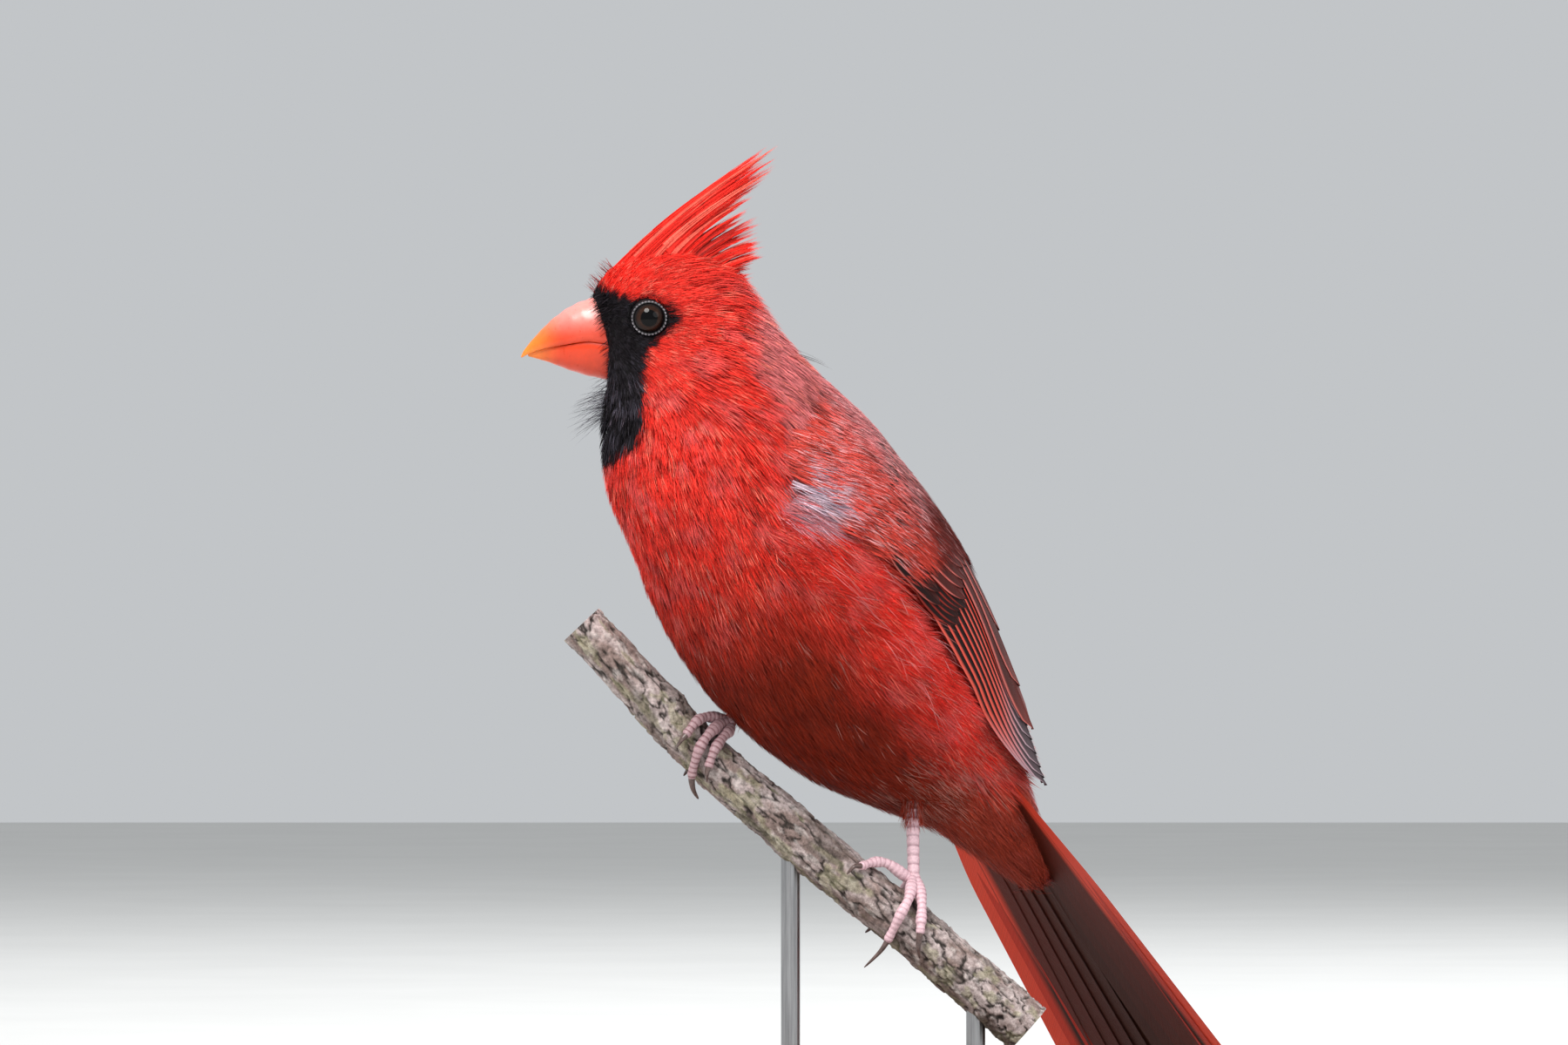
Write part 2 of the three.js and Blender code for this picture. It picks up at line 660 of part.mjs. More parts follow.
// Stand
function rod(x, grow = 0) {
  const share = shareAt(x);
  const under = branchCurve.getPoint(share).z - branchRadius(share);
  const bottom = BASE_THICK - ROD_SOCKET - grow;
  const height = under + ROD_IN_BRANCH + grow - bottom;
  const shape = new THREE.CylinderGeometry(ROD_RADIUS + grow, ROD_RADIUS + grow, height, ROD_SIDES);
  return shape.rotateX(Math.PI / 2).translate(x, 0, bottom + height / 2);
}

function basePlate() {
  const x = BASE_LENGTH / 2 - BASE_BEVEL - BASE_CORNER;
  const y = BASE_DEPTH / 2 - BASE_BEVEL - BASE_CORNER;
  const outline = new THREE.Shape();
  const corners = [[x, y, 0], [-x, y, 90], [-x, -y, 180], [x, -y, 270]];
  for (const [cx, cy, start] of corners) {
    outline.absarc(cx, cy, BASE_CORNER, radians(start), radians(start + 90));
  }
  outline.closePath();
  const plate = new THREE.ExtrudeGeometry(outline, {
    depth: BASE_THICK - 2 * BASE_BEVEL,
    bevelSize: BASE_BEVEL,
    bevelThickness: BASE_BEVEL,
    bevelSegments: 1,
    curveSegments: 4,
  });
  return plate.translate(0, 0, BASE_BEVEL);
}

// Assembly
function addBody() {
  const last = SECTIONS.length - 1;
  let head = toSolid(bodyStretch(0, HEAD_END));
  for (const side of [1, -1]) head = head.subtract(toSolid(eyeball(side, GAP)));
  addPiece('head', toGeometry(head), 'plumage');
  addPiece('neck', bodyStretch(HEAD_END + PART_CUT, NECK_END), 'plumage');

  let trunk = toSolid(bodyStretch(NECK_END + PART_CUT, last));
  for (const side of ['left', 'right']) {
    trunk = trunk.subtract(toSolid(legShape(side, GAP)));
    trunk = trunk.subtract(footSolid(FEET[side], GAP));
  }
  addPiece('trunk', toGeometry(trunk), 'plumage');

  const crest = toSolid(crestShape()).subtract(toSolid(bodyStretch(0, HEAD_END + CREST_ROOM_PAST_HEAD, GAP)));
  addPiece('crest', toGeometry(crest), 'plumage');

  const trunkRoom = toSolid(bodyStretch(TRUNK_ROOM_START, last, GAP));
  const tail = toSolid(tailFan()).subtract(trunkRoom);
  addPiece('tail', toGeometry(tail), 'tail');
  const wings = { wing_left: 1, wing_right: -1 };
  for (const [name, side] of Object.entries(wings)) {
    const wing = toSolid(foldedWing(side)).subtract(trunkRoom);
    addPiece(name, toGeometry(wing), 'wing');
  }
}

function addHeadDetails() {
  const faceRoom = toSolid(bodyStretch(0, HEAD_END, GAP));
  const upper = toSolid(mandible(UPPER_BILL, UPPER_BILL_TIP, 1));
  const upperRoom = upper.add(upper.translate([0, 0, -GAP]));
  const lower = toSolid(mandible(LOWER_BILL, LOWER_BILL_TIP, -1)).subtract(upperRoom);
  addPiece('bill_upper', toGeometry(upper.subtract(faceRoom)), 'bill');
  addPiece('bill_lower', toGeometry(lower.subtract(faceRoom)), 'bill');
  addPiece('eye_left', eyeball(1), 'eye');
  addPiece('eye_right', eyeball(-1), 'eye');
}

function addLegs() {
  for (const side of ['left', 'right']) {
    const foot = footSolid(FEET[side]);
    addPiece(`foot_${side}`, toGeometry(foot), 'leg');
    addPiece(`leg_${side}`, toGeometry(toSolid(legShape(side)).subtract(foot)), 'leg');
  }
}

function addStand() {
  let branch = toSolid(branchShape());
  let base = toSolid(basePlate());
  for (const [name, x] of Object.entries(ROD_PLACES)) {
    addPiece(name, rod(x), 'steel');
    branch = branch.subtract(toSolid(rod(x, GAP)));
    base = base.subtract(toSolid(rod(x, GAP)));
  }
  addPiece('perch', toGeometry(branch), 'bark');
  addPiece('stand_base', toGeometry(base), 'wood');
}

addBody();
addHeadDetails();
addLegs();
addStand();

export default bird;
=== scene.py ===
"""A male northern cardinal at life size, perched on a cut length of branch that a plain stand holds."""

import math

import bpy
import numpy as np
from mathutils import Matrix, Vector, noise
from mathutils.bvhtree import BVHTree


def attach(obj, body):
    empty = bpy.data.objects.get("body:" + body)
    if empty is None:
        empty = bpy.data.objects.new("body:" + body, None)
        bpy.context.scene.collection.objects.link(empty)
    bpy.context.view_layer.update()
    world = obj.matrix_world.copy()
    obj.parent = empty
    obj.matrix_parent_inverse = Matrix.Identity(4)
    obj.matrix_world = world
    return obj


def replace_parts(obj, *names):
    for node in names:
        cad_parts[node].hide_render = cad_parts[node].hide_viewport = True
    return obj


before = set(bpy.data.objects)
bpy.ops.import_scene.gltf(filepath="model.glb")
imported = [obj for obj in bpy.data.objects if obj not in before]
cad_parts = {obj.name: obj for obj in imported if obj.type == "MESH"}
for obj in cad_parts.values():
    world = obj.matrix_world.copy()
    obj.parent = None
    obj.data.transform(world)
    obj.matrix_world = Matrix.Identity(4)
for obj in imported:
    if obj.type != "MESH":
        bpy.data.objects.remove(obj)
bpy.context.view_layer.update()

rng = np.random.default_rng(20)

# Driving dimensions, in millimetres and degrees
MM = 0.001
BODY_YAW = 35.0  # the trunk's turn from the head's heading
NECK_AXIS = (-39.0, -20.6)  # the upright line that the neck turns about
COAT_DEPTH = 1.9  # how far the skin lies inside the body's outline
FACE_COAT_DEPTH = 0.9
SKIN_VOXEL = 0.9
SKIN_SMOOTHING = 14
GAP_FILL = 1.0  # how far the parts of the body are grown so that they join
WELD_DISTANCE = 0.02
PATCH = 0.003  # side of a tuft's patch on the map
PIECE_TRIANGLES = 190000  # most triangles of one coat piece

# The eyes' middles as the bird's own u, w and distance from the mid-plane, and their radius
EYE_U, EYE_W, EYE_V, EYE_RADIUS = 7.6, 193.4, 11.0, 4.2

# Where the legs' upper ends lie inside the body, as u, v, w
LEG_TOPS = {"left": (-61.5, 3.6, 92.0), "right": (-32.5, -8.0, 113.0)}

# The body's line: u forward from the neck's axis, w up, lean of the section's back edge rearward,
# half depth, half width, and the share of BODY_YAW that the section is turned by
SECTIONS = np.array([
    [17.8, 188.9, -21.0, 10.2, 6.6, 0.0],
    [17.4, 190.6, 3.0, 15.2, 10.2, 0.0],
    [13.3, 190.2, 17.0, 20.4, 13.2, 0.0],
    [8.0, 187.2, 28.0, 24.2, 15.6, 0.0],
    [3.4, 182.0, 37.0, 26.2, 17.8, 0.02],
    [-0.4, 175.6, 45.0, 27.0, 20.4, 0.12],
    [-5.0, 168.4, 49.0, 28.4, 23.2, 0.4],
    [-11.0, 160.6, 47.0, 30.0, 25.6, 0.75],
    [-17.2, 152.2, 44.0, 31.4, 27.8, 0.95],
    [-24.8, 142.5, 44.0, 32.7, 29.4, 1.0],
    [-32.8, 132.8, 44.0, 33.2, 29.8, 1.0],
    [-41.1, 123.3, 44.0, 32.2, 28.8, 1.0],
    [-49.7, 114.1, 44.0, 29.8, 26.8, 1.0],
    [-58.2, 105.6, 44.0, 26.7, 23.8, 1.0],
    [-66.4, 98.4, 45.0, 22.6, 20.2, 1.0],
    [-74.4, 92.4, 46.0, 18.4, 16.8, 1.0],
    [-81.6, 85.6, 48.0, 13.6, 13.6, 1.0],
    [-88.8, 77.6, 50.0, 9.8, 11.2, 1.0],
    [-95.4, 69.6, 51.6, 6.0, 8.2, 1.0],
    [-101.4, 62.0, 51.6, 2.4, 4.6, 1.0],
])
LAST = len(SECTIONS) - 1


# Frames and small helpers

def place(u, v, w, turn=1.0):
    """The model's point, in mm, for the bird's own u, v, w at a turn. Takes numbers or arrays."""
    yaw = np.radians(BODY_YAW * np.asarray(turn, float))
    u, v, w = np.broadcast_arrays(*(np.asarray(value, float) for value in (u, v, w)))
    x = NECK_AXIS[0] - u * np.cos(yaw) + v * np.sin(yaw)
    y = NECK_AXIS[1] - u * np.sin(yaw) - v * np.cos(yaw)
    return np.stack([x, y, w + 0 * x], -1)


def heading(u, v, w, turn=1.0):
    """A direction given in the bird's own frame, in the model's frame."""
    return place(u, v, w, turn) - place(0, 0, 0, turn)


def own_frame(points, turn=0.0):
    """The bird's own u, v, w of the model's points at a turn. The head's turn is 0."""
    yaw = np.radians(BODY_YAW * np.asarray(turn, float))
    x = points[..., 0] - NECK_AXIS[0]
    y = points[..., 1] - NECK_AXIS[1]
    u = -x * np.cos(yaw) - y * np.sin(yaw)
    v = x * np.sin(yaw) - y * np.cos(yaw)
    return u, v, points[..., 2]


def unit(vectors):
    length = np.linalg.norm(vectors, axis=-1, keepdims=True)
    return vectors / np.maximum(length, 1e-9)


def blend(a, b, share):
    return a * (1 - share) + b * share


def tint(a, b, share):
    """Mixes colours or points, share being one number for each of them."""
    share = np.asarray(share, float)[..., None]
    return np.asarray(a) * (1 - share) + np.asarray(b) * share


def layered(paint, *layers):
    """Paint with more colours over it, each with its share."""
    for tone, share in layers:
        paint = tint(paint, tone, share)
    return paint


def ramp(value, low, high):
    """0 below low, 1 above high, and a smooth rise between them."""
    share = np.clip((value - low) / (high - low), 0, 1)
    return share * share * (3 - 2 * share)


def hump(value, middle, width):
    """1 at the middle, and a smooth fall on both sides."""
    return np.exp(-((value - middle) / width) ** 2)


def chance(share, count):
    """True at random for about the given share of count places."""
    return rng.uniform(0, 1, count) < share


def colour(red, green, blue):
    """A linear colour from its display values of 0 to 255."""
    shown = np.array([red, green, blue], float) / 255
    return np.where(shown <= 0.04045, shown / 12.92, ((shown + 0.055) / 1.055) ** 2.4)


def smooth_line(knots, at):
    """Points on a smooth curve through the knots, at being fractional knot numbers."""
    knots = np.asarray(knots, float)
    at = np.clip(np.asarray(at, float), 0, len(knots) - 1 - 1e-6)
    first = at.astype(int)
    share = (at - first)[..., None]
    here, there = knots[first], knots[first + 1]
    pull = 0.5 * (there - knots[np.maximum(first - 1, 0)])
    push = 0.5 * (knots[np.minimum(first + 2, len(knots) - 1)] - here)
    cube, square = share ** 3, share ** 2
    return (
        (2 * cube - 3 * square + 1) * here + (cube - 2 * square + share) * pull
        + (-2 * cube + 3 * square) * there + (cube - square) * push
    )


def clouds(points, size, seed=0.0, detail=2):
    """Smooth noise from about -1 to 1 at points in mm, with lumps of about the given size."""
    moved = np.asarray(points) / size + seed
    flat = moved.reshape(-1, 3)
    found = [noise.fractal(Vector(p), 1.0, 2.0, detail, noise_basis="PERLIN_ORIGINAL") for p in flat]
    return np.array(found).reshape(moved.shape[:-1])


# The body's own coordinates: section number and angle round the section

FINE = np.linspace(0, LAST, 153)
FINE_SECTIONS = smooth_line(SECTIONS, FINE)


def body_place(points):
    """Section number, angle up from the flank in degrees, and side (1 left) of points near the body."""
    u, w, lean, deep, wide, turn = FINE_SECTIONS.T
    pu, pv, pw = own_frame(points[:, None, :], turn[None, :])
    tilt = np.radians(lean)
    ahead = (pu - u) * np.cos(tilt) + (pw - w) * np.sin(tilt)
    up = -(pu - u) * np.sin(tilt) + (pw - w) * np.cos(tilt)
    reach = (up / deep) ** 2 + (pv / wide) ** 2
    best = np.argmin(np.abs(ahead) + 6 * np.maximum(reach - 1.3, 0), axis=1)
    row = np.arange(len(points))
    angle = np.degrees(np.arctan2(up[row, best] / deep[best], np.abs(pv[row, best]) / wide[best]))
    return FINE[best], angle, np.where(pv[row, best] >= 0, 1.0, -1.0)


def unwrap(at, angle, side):
    """Where a place on the body lies on the map: along the body, and round it from the belly."""
    across = 0.5 + side * (0.02 + 0.46 * (angle + 90) / 180)
    return np.stack([0.02 + 0.96 * at / LAST, across], -1)


# Making meshes

def scene_object(name, data):
    thing = bpy.data.objects.new(name, data)
    bpy.context.scene.collection.objects.link(thing)
    return thing


def finished(mesh, material):
    """The mesh as an object that rides on the part's only body."""
    mesh.shade_smooth()
    mesh.materials.append(material)
    thing = scene_object(mesh.name, mesh)
    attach(thing, "root")
    return thing


def store_colours(thing, name, values):
    """Stores a colour for each vertex, or one for all, as linear numbers."""
    rgba = np.ones((len(thing.data.vertices), 4), np.float32)
    rgba[:, :3] = np.asarray(values, np.float32).reshape(-1, 3)
    layer = thing.data.color_attributes.new(name, "FLOAT_COLOR", "POINT")
    layer.data.foreach_set("color", rgba.ravel())


def flipped(faces):
    """The faces with their outer sides turned in."""
    return [tuple(reversed(face)) for face in faces]


def new_object(name, verts, faces, material, paint=None, flip=False):
    """A mesh object from points in mm and their colours, with its faces flipped or not."""
    if flip:
        faces = flipped(faces)
    mesh = bpy.data.meshes.new(name)
    mesh.from_pydata((np.asarray(verts).reshape(-1, 3) * MM).tolist(), [], faces)
    mesh.update()
    thing = finished(mesh, material)
    if paint is not None:
        store_colours(thing, "paint", paint)
    return thing


def loft_faces(rings, sides, closed=True, caps=True, joined=False):
    """Faces over rings that follow each other. joined runs from the last ring on to the first."""
    faces = []
    total = rings * sides
    for ring in range(rings if joined else rings - 1):
        for side in range(sides if closed else sides - 1):
            here = ring * sides + side
            there = ring * sides + (side + 1) % sides
            faces.append((here, there, (there + sides) % total, (here + sides) % total))
    if caps and closed:
        faces.append(tuple(reversed(range(sides))))
        faces.append(tuple(range(total - sides, total)))
    return faces


def tube_rings(centre, radii, sides, squash=1.0):
    """Rings round a line of points in mm, with a frame that doesn't twist."""
    tangents = unit(np.gradient(centre, axis=0))
    across = np.cross(tangents[0], [0.0, 0.0, 1.0])
    if np.linalg.norm(across) < 0.1:
        across = np.cross(tangents[0], [0.0, 1.0, 0.0])
    angles = np.linspace(0, 2 * math.pi, sides, endpoint=False)
    rings = []
    for middle, tangent, radius in zip(centre, tangents, radii):
        across = across - tangent * np.dot(across, tangent)
        across = across / np.linalg.norm(across)
        up = np.cross(across, tangent)
        around = np.cos(angles)[:, None] * across + squash * np.sin(angles)[:, None] * up
        rings.append(middle + radius * around)
    return np.array(rings)


def corner_map(thing, corner_uv):
    """The map named OFBake, for baking the surface's colours."""
    layer = thing.data.uv_layers.new(name="OFBake")
    layer.uv.foreach_set("vector", np.asarray(corner_uv, np.float32).ravel())


# Materials

class Nodes:
    """A material's node tree with short calls for what repeats."""

    def __init__(self, name):
        self.material = bpy.data.materials.new(name)
        self.material.use_nodes = True
        self.tree = self.material.node_tree
        self.shader = self.tree.nodes["Principled BSDF"]

    def add(self, kind, inputs=(), **settings):
        """A node with its settings, and its inputs by name."""
        node = self.tree.nodes.new(kind)
        for key, value in settings.items():
            setattr(node, key, value)
        for key, value in dict(inputs).items():
            self.feed(value, node.inputs[key])
        return node

    def feed(self, source, socket):
        """Links a socket, or sets a number, vector or colour."""
        if isinstance(source, bpy.types.NodeSocket):
            self.tree.links.new(source, socket)
        elif np.ndim(source) and socket.type == "RGBA":
            socket.default_value = (*source, 1.0)
        else:
            socket.default_value = source

    def attribute(self, name="paint"):
        """A colour that is stored on the mesh."""
        return self.add("ShaderNodeAttribute", attribute_name=name).outputs["Color"]

    def place(self):
        """Where a point is on the object, in metres."""
        return self.add("ShaderNodeTexCoord").outputs["Object"]

    def noise(self, scale, detail=4.0, rough=0.55, source=None, stretch=None):
        source = source or self.place()
        if stretch:
            mapping = self.add("ShaderNodeMapping", {"Vector": source, "Scale": stretch})
            source = mapping.outputs["Vector"]
        inputs = {"Scale": scale, "Detail": detail, "Roughness": rough, "Vector": source}
        return self.add("ShaderNodeTexNoise", inputs).outputs["Fac"]

    def ramp(self, source, *stops):
        """Colours along a ramp: each stop is a place from 0 to 1 and a linear colour."""
        node = self.add("ShaderNodeValToRGB", {"Fac": source})
        elements = node.color_ramp.elements
        while len(elements) < len(stops):
            elements.new(0.5)
        for element, (at, value) in zip(elements, stops):
            element.position = at
            element.color = (*value, 1.0)
        return node.outputs["Color"]

    def maths(self, operation, *sources):
        node = self.add("ShaderNodeMath", operation=operation)
        for source, socket in zip(sources, node.inputs):
            self.feed(source, socket)
        return node.outputs[0]

    def mix(self, share, a, b, kind="MIX"):
        node = self.add("ShaderNodeMix", data_type="RGBA", blend_type=kind)
        for source, number in ((share, 0), (a, 6), (b, 7)):
            self.feed(source, node.inputs[number])
        return node.outputs[2]

    def times(self, a, b):
        return self.mix(1.0, a, b, "MULTIPLY")

    def relief(self, source, bump, rough, rough_source=None):
        """Relief (distance in m and strength) and roughness (low and high), from one noise or two."""
        node = self.add("ShaderNodeBump", {"Distance": bump[0], "Strength": bump[1], "Height": source})
        self.feed(node.outputs["Normal"], self.shader.inputs["Normal"])
        if rough:
            inputs = {"To Min": rough[0], "To Max": rough[1], "Value": rough_source or source}
            node = self.add("ShaderNodeMapRange", inputs)
            self.feed(node.outputs["Result"], self.shader.inputs["Roughness"])

    def finish(self, base, **constants):
        self.feed(base, self.shader.inputs["Base Color"])
        for name, value in constants.items():
            self.shader.inputs[name.replace("_", " ")].default_value = value
        return self.material


def grey(value):
    return (value, value, value)


def painted_material(name, scale, detail, dark, light, bump, rough, **constants):
    """The painted colour, broken by a fine noise that also gives relief and roughness."""
    n = Nodes(name)
    fine = n.noise(scale, detail)
    tone = n.ramp(fine, (0.3, dark), (0.7, light))
    n.relief(fine, bump, rough)
    return n.finish(n.times(n.attribute(), tone), **constants)


def coat_material():
    """Soft feathers: the painted colour, broken by fine and by wide light and dark patches."""
    n = Nodes("coat_feathers")
    grain = n.noise(2600.0, 3.0)
    tone = n.ramp(grain, (0.3, (0.72, 0.7, 0.7)), (0.7, (1.18, 1.16, 1.16)))
    wide_tone = n.ramp(n.noise(160.0, 3.0), (0.35, (0.9, 0.88, 0.88)), (0.65, grey(1.06)))
    n.relief(grain, (0.00012, 0.5), (0.54, 0.72))
    base = n.times(n.times(n.attribute(), tone), wide_tone)
    return n.finish(base, Sheen_Weight=0.03, Sheen_Roughness=0.4, Specular_IOR_Level=0.1)


ACROSS_START = 20.0  # added to a vane's stored way across, which keeps it above zero


def vane_material():
    """Stiff feathers: the painted colour with fine barbs slanting from the shaft to the edge."""
    n = Nodes("vane_feathers")
    parts = n.add("ShaderNodeSeparateColor", {"Color": n.attribute("vane")}).outputs
    away = n.maths("ABSOLUTE", n.maths("SUBTRACT", parts["Green"], ACROSS_START))
    slant = n.maths("MULTIPLY_ADD", away, -1.3, parts["Red"])
    line = n.add("ShaderNodeCombineXYZ", {"X": slant}).outputs["Vector"]
    barbs = n.noise(4.6, 2.0, 0.5, line)
    tone = n.ramp(barbs, (0.35, (0.74, 0.72, 0.72)), (0.65, (1.2, 1.18, 1.18)))
    n.relief(barbs, (0.00015, 0.6), (0.42, 0.62))
    return n.finish(n.times(n.attribute(), tone), Sheen_Weight=0.02, Specular_IOR_Level=0.1)


COAT_MATERIAL = coat_material()
VANE_MATERIAL = vane_material()
SKIN_MATERIAL = painted_material(
    "skin", 1500.0, 4.0, (0.5, 0.48, 0.48), grey(0.95), (0.0004, 0.7), (0.65, 0.9), Specular_IOR_Level=0.2,
)


# Markings

RED = colour(230, 46, 36)
FOREHEAD_RED = colour(240, 26, 14)
# Darker, duller red of the belly: partly the belly's own duller colour and partly painted shade, as the light
# falls from above
BELLY_RED_AND_SHADE = colour(130, 33, 11)
VENT_BROWN = colour(176, 66, 46)
# Greyish rose of the nape and back, made paler in part by a painted sheen of the sky from above
ROSE = colour(210, 120, 122)
MANTLE = colour(204, 126, 130)
MASK = colour(18, 14, 18)
# Blue-grey on the black mask and bib: partly grey hairs and partly a painted sheen of the sky
MASK_GREY_AND_SHEEN = colour(92, 90, 104)
DOWN = colour(214, 190, 204)
DOWN_DARK = colour(112, 106, 128)
FLUFF = colour(190, 140, 128)
DARK_SPECK = colour(96, 34, 30)
# Pink of the painted highlights on single barbs, tufts and crest feathers
HIGHLIGHT_STREAK = colour(255, 138, 116)
CORAL = colour(222, 72, 58)
CORAL_PALE = colour(240, 130, 112)
BLACKISH = colour(30, 13, 13)
LILAC = colour(178, 158, 168)
BROWN_ROSE = colour(106, 38, 34)
DARK_BROWN = colour(72, 26, 22)
ROSE_EDGE = colour(196, 100, 92)
PALE_ROSE = colour(236, 176, 178)
TAIL_RED = colour(200, 44, 28)
# Near-black brown of the tail's underside: partly the inner webs' own colour and partly painted shade under
# the tail
TAIL_BROWN_AND_SHADE = colour(50, 25, 11)
TAIL_EDGE = colour(238, 78, 54)
# The pale pink along the bill's ridge is a painted sheen of the light from above
BILL_RED, BILL_RIDGE_SHEEN = colour(214, 60, 20), colour(242, 148, 140)
BILL_TIP, BILL_ROOT = colour(240, 132, 44), colour(214, 48, 26)

# Outline of the black mask on the side of the head, as [u, w]
MASK_OUTLINE = np.array([
    [25.0, 201.0], [19.0, 199.8], [16.2, 198.8], [12.6, 197.6], [8.0, 198.2], [3.8, 196.2],
    [1.6, 193.4], [3.8, 190.0], [6.6, 188.2], [8.6, 186.2], [9.8, 182.0], [9.4, 177.0],
    [8.8, 171.0], [10.4, 166.4], [14.6, 163.0], [19.4, 161.0], [25.0, 160.5], [30.0, 181.0],
])
MASK_REAR = -2  # no mask behind this u
# Angle up from the flank at which the rosy back starts, by section number
BACK_EDGE = ([3.2, 4.2, 5.0, 6.0, 7.0, 8.0, 9.0, 19.0], [120, 72, 42, 24, 8, 6, 20, 34])
DOWN_PATCH = (-14.8, 27.5, 154.0)  # u, v, w of the grey down at the bend of the wing


def inside_outline(outline, x, y):
    """Signed distance to a closed outline, positive inside it."""
    nearest = np.full(x.shape, 1e9)
    inside = np.zeros(x.shape, bool)
    for (ax, ay), (bx, by) in zip(outline, np.roll(outline, -1, axis=0)):
        dx, dy = bx - ax, by - ay
        share = np.clip(((x - ax) * dx + (y - ay) * dy) / (dx * dx + dy * dy), 0, 1)
        nearest = np.minimum(nearest, np.hypot(x - ax - share * dx, y - ay - share * dy))
        inside ^= ((ay > y) != (by > y)) & (x < (bx - ax) * (y - ay) / (by - ay + 1e-12) + ax)
    return np.where(inside, nearest, -nearest)


def mask_share(points, ragged=0.0):
    """1 inside the black mask and 0 outside it."""
    u, v, w = own_frame(points)
    edge = inside_outline(MASK_OUTLINE, u, w)
    return np.where(u > MASK_REAR, ramp(edge + ragged, -0.5, 0.5), 0.0)


def down_share(points, ragged=0.0):
    """1 in the patch of grey down at the bend of each wing."""
    u, v, w = DOWN_PATCH
    near = [np.linalg.norm(points - place(u, side * v, w), axis=-1) for side in (1, -1)]
    reach = np.minimum(*near) + 4 * ragged + 2 * clouds(points, 4.0, 9.0)
    return 1 - ramp(reach, 3.4, 8.0)


def markings(points, at, angle, ragged=0.0):
    """The plumage's base colour at points of the body, given their section number and angle. The belly's
    darker red is partly painted shade, and the back's pale rose partly painted sheen.
    """
    # belly: darker towards the underside, partly the belly's own colour and partly painted shade
    belly = ramp(at, 6.6, 10.4) * ramp(-angle + 8 * clouds(points, 12.0, 4.4), 2, 46)
    forehead = hump(at, 1.2, 1.2) * ramp(angle, 10, 60)
    back_edge = np.interp(at, *BACK_EDGE)
    # rosy: the back's greyish rose, made paler in part by painted sky sheen
    rosy = ramp(angle + 9 * clouds(points, 6.0, 3.1, 3) + ragged * 4, back_edge - 6, back_edge + 10)
    back = tint(ROSE, MANTLE, ramp(at, 6.6, 8.6))
    return layered(
        RED, (BELLY_RED_AND_SHADE, belly), (VENT_BROWN, ramp(at, 13.6, 16.2)), (FOREHEAD_RED, forehead),
        (back, rosy * 0.92), (DOWN, 0.95 * down_share(points, ragged)), (MASK, mask_share(points, ragged)),
    )


# Skin: one closed surface in place of head, neck and trunk

def gathered(meshes):
    """The vertices in metres and the faces of several meshes."""
    verts, faces = [], []
    for mesh in meshes:
        start = len(verts)
        verts.extend(v.co.copy() for v in mesh.vertices)
        faces.extend(tuple(start + i for i in p.vertices) for p in mesh.polygons)
    return verts, faces


def applied(thing):
    """The object's mesh with its modifiers worked out. The object itself is removed."""
    bpy.context.view_layer.update()
    depsgraph = bpy.context.evaluated_depsgraph_get()
    mesh = bpy.data.meshes.new_from_object(thing.evaluated_get(depsgraph))
    bpy.data.objects.remove(thing)
    return mesh


def grown(node):
    """A mesh like the CAD node's, with each vertex moved out by GAP_FILL."""
    bare = scene_object("grown_" + node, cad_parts[node].data.copy())
    bare.modifiers.new("weld", "WELD").merge_threshold = WELD_DISTANCE * MM
    shift = bare.modifiers.new("shift", "DISPLACE")
    shift.strength = GAP_FILL * MM
    shift.mid_level = 0.0
    return applied(bare)


def face_share(points):
    """1 on the face, where the coat is short, and 0 on the neck and trunk."""
    u, v, w = own_frame(points)
    return ramp(u, -6.0, 6.0) * ramp(w, 172.0, 184.0)


def remeshed_body():
    """Vertices and faces of the skin, inside the body's outline by the coat's depth."""
    joined = bpy.data.meshes.new("joined")
    verts, faces = gathered(grown(node) for node in ("head", "neck", "trunk"))
    joined.from_pydata(verts, [], faces)
    thing = scene_object("remesh", joined)
    remesh = thing.modifiers.new("remesh", "REMESH")
    remesh.mode = "VOXEL"
    remesh.voxel_size = SKIN_VOXEL * MM
    soft = thing.modifiers.new("soft", "SMOOTH")
    soft.factor = 0.5
    soft.iterations = SKIN_SMOOTHING
    mesh = applied(thing)
    verts, normals = np.zeros((2, len(mesh.vertices), 3))
    mesh.vertices.foreach_get("co", verts.ravel())
    mesh.vertices.foreach_get("normal", normals.ravel())
    verts = verts / MM
    depth = GAP_FILL + blend(COAT_DEPTH, FACE_COAT_DEPTH, face_share(verts))
    return eye_hollows(verts - normals * depth[:, None]), [tuple(p.vertices) for p in mesh.polygons]


def eye_hollows(verts):
    """Draws the skin in round each eye, so that the lid's ring stands clear of it."""
    u, v, w = own_frame(verts)
    near = (1 - ramp(np.hypot(u - EYE_U, w - EYE_W), 3.9, 6.2)) * (np.abs(v) > 6)
    most = EYE_V + 1.45
    drawn = np.where(np.abs(v) > most, blend(np.abs(v), most, near), np.abs(v))
    return place(u, np.sign(v) * drawn, w, 0.0)


skin_verts, skin_faces = remeshed_body()
skin_at, skin_angle, skin_side = body_place(skin_verts)
SKIN_TREE = BVHTree.FromPolygons([Vector(v) for v in skin_verts], skin_faces)


def nearest_on_skin(points):
    """The nearest skin points and their outward normals."""
    found = [SKIN_TREE.find_nearest(Vector(point))[:2] for point in points]
    return np.array([spot for spot, _ in found]), np.array([normal for _, normal in found])


def face_corner_uv(faces, uv):
    """Each face's corners on the map. A face over the map's seam is drawn in to its first corner."""
    rows = []
    for face in faces:
        corners = uv[list(face)]
        wide = np.abs(corners - corners[0]).max() > 0.2
        rows.append(np.repeat(corners[:1], len(face), axis=0) if wide else corners)
    return np.concatenate(rows)


def add_skin():
    paint = markings(skin_verts, skin_at, skin_angle) * 0.75
    skin = new_object("skin", skin_verts, skin_faces, SKIN_MATERIAL, paint)
    corner_map(skin, face_corner_uv(skin_faces, unwrap(skin_at, skin_angle, skin_side)))
    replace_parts(skin, "head", "neck", "trunk")


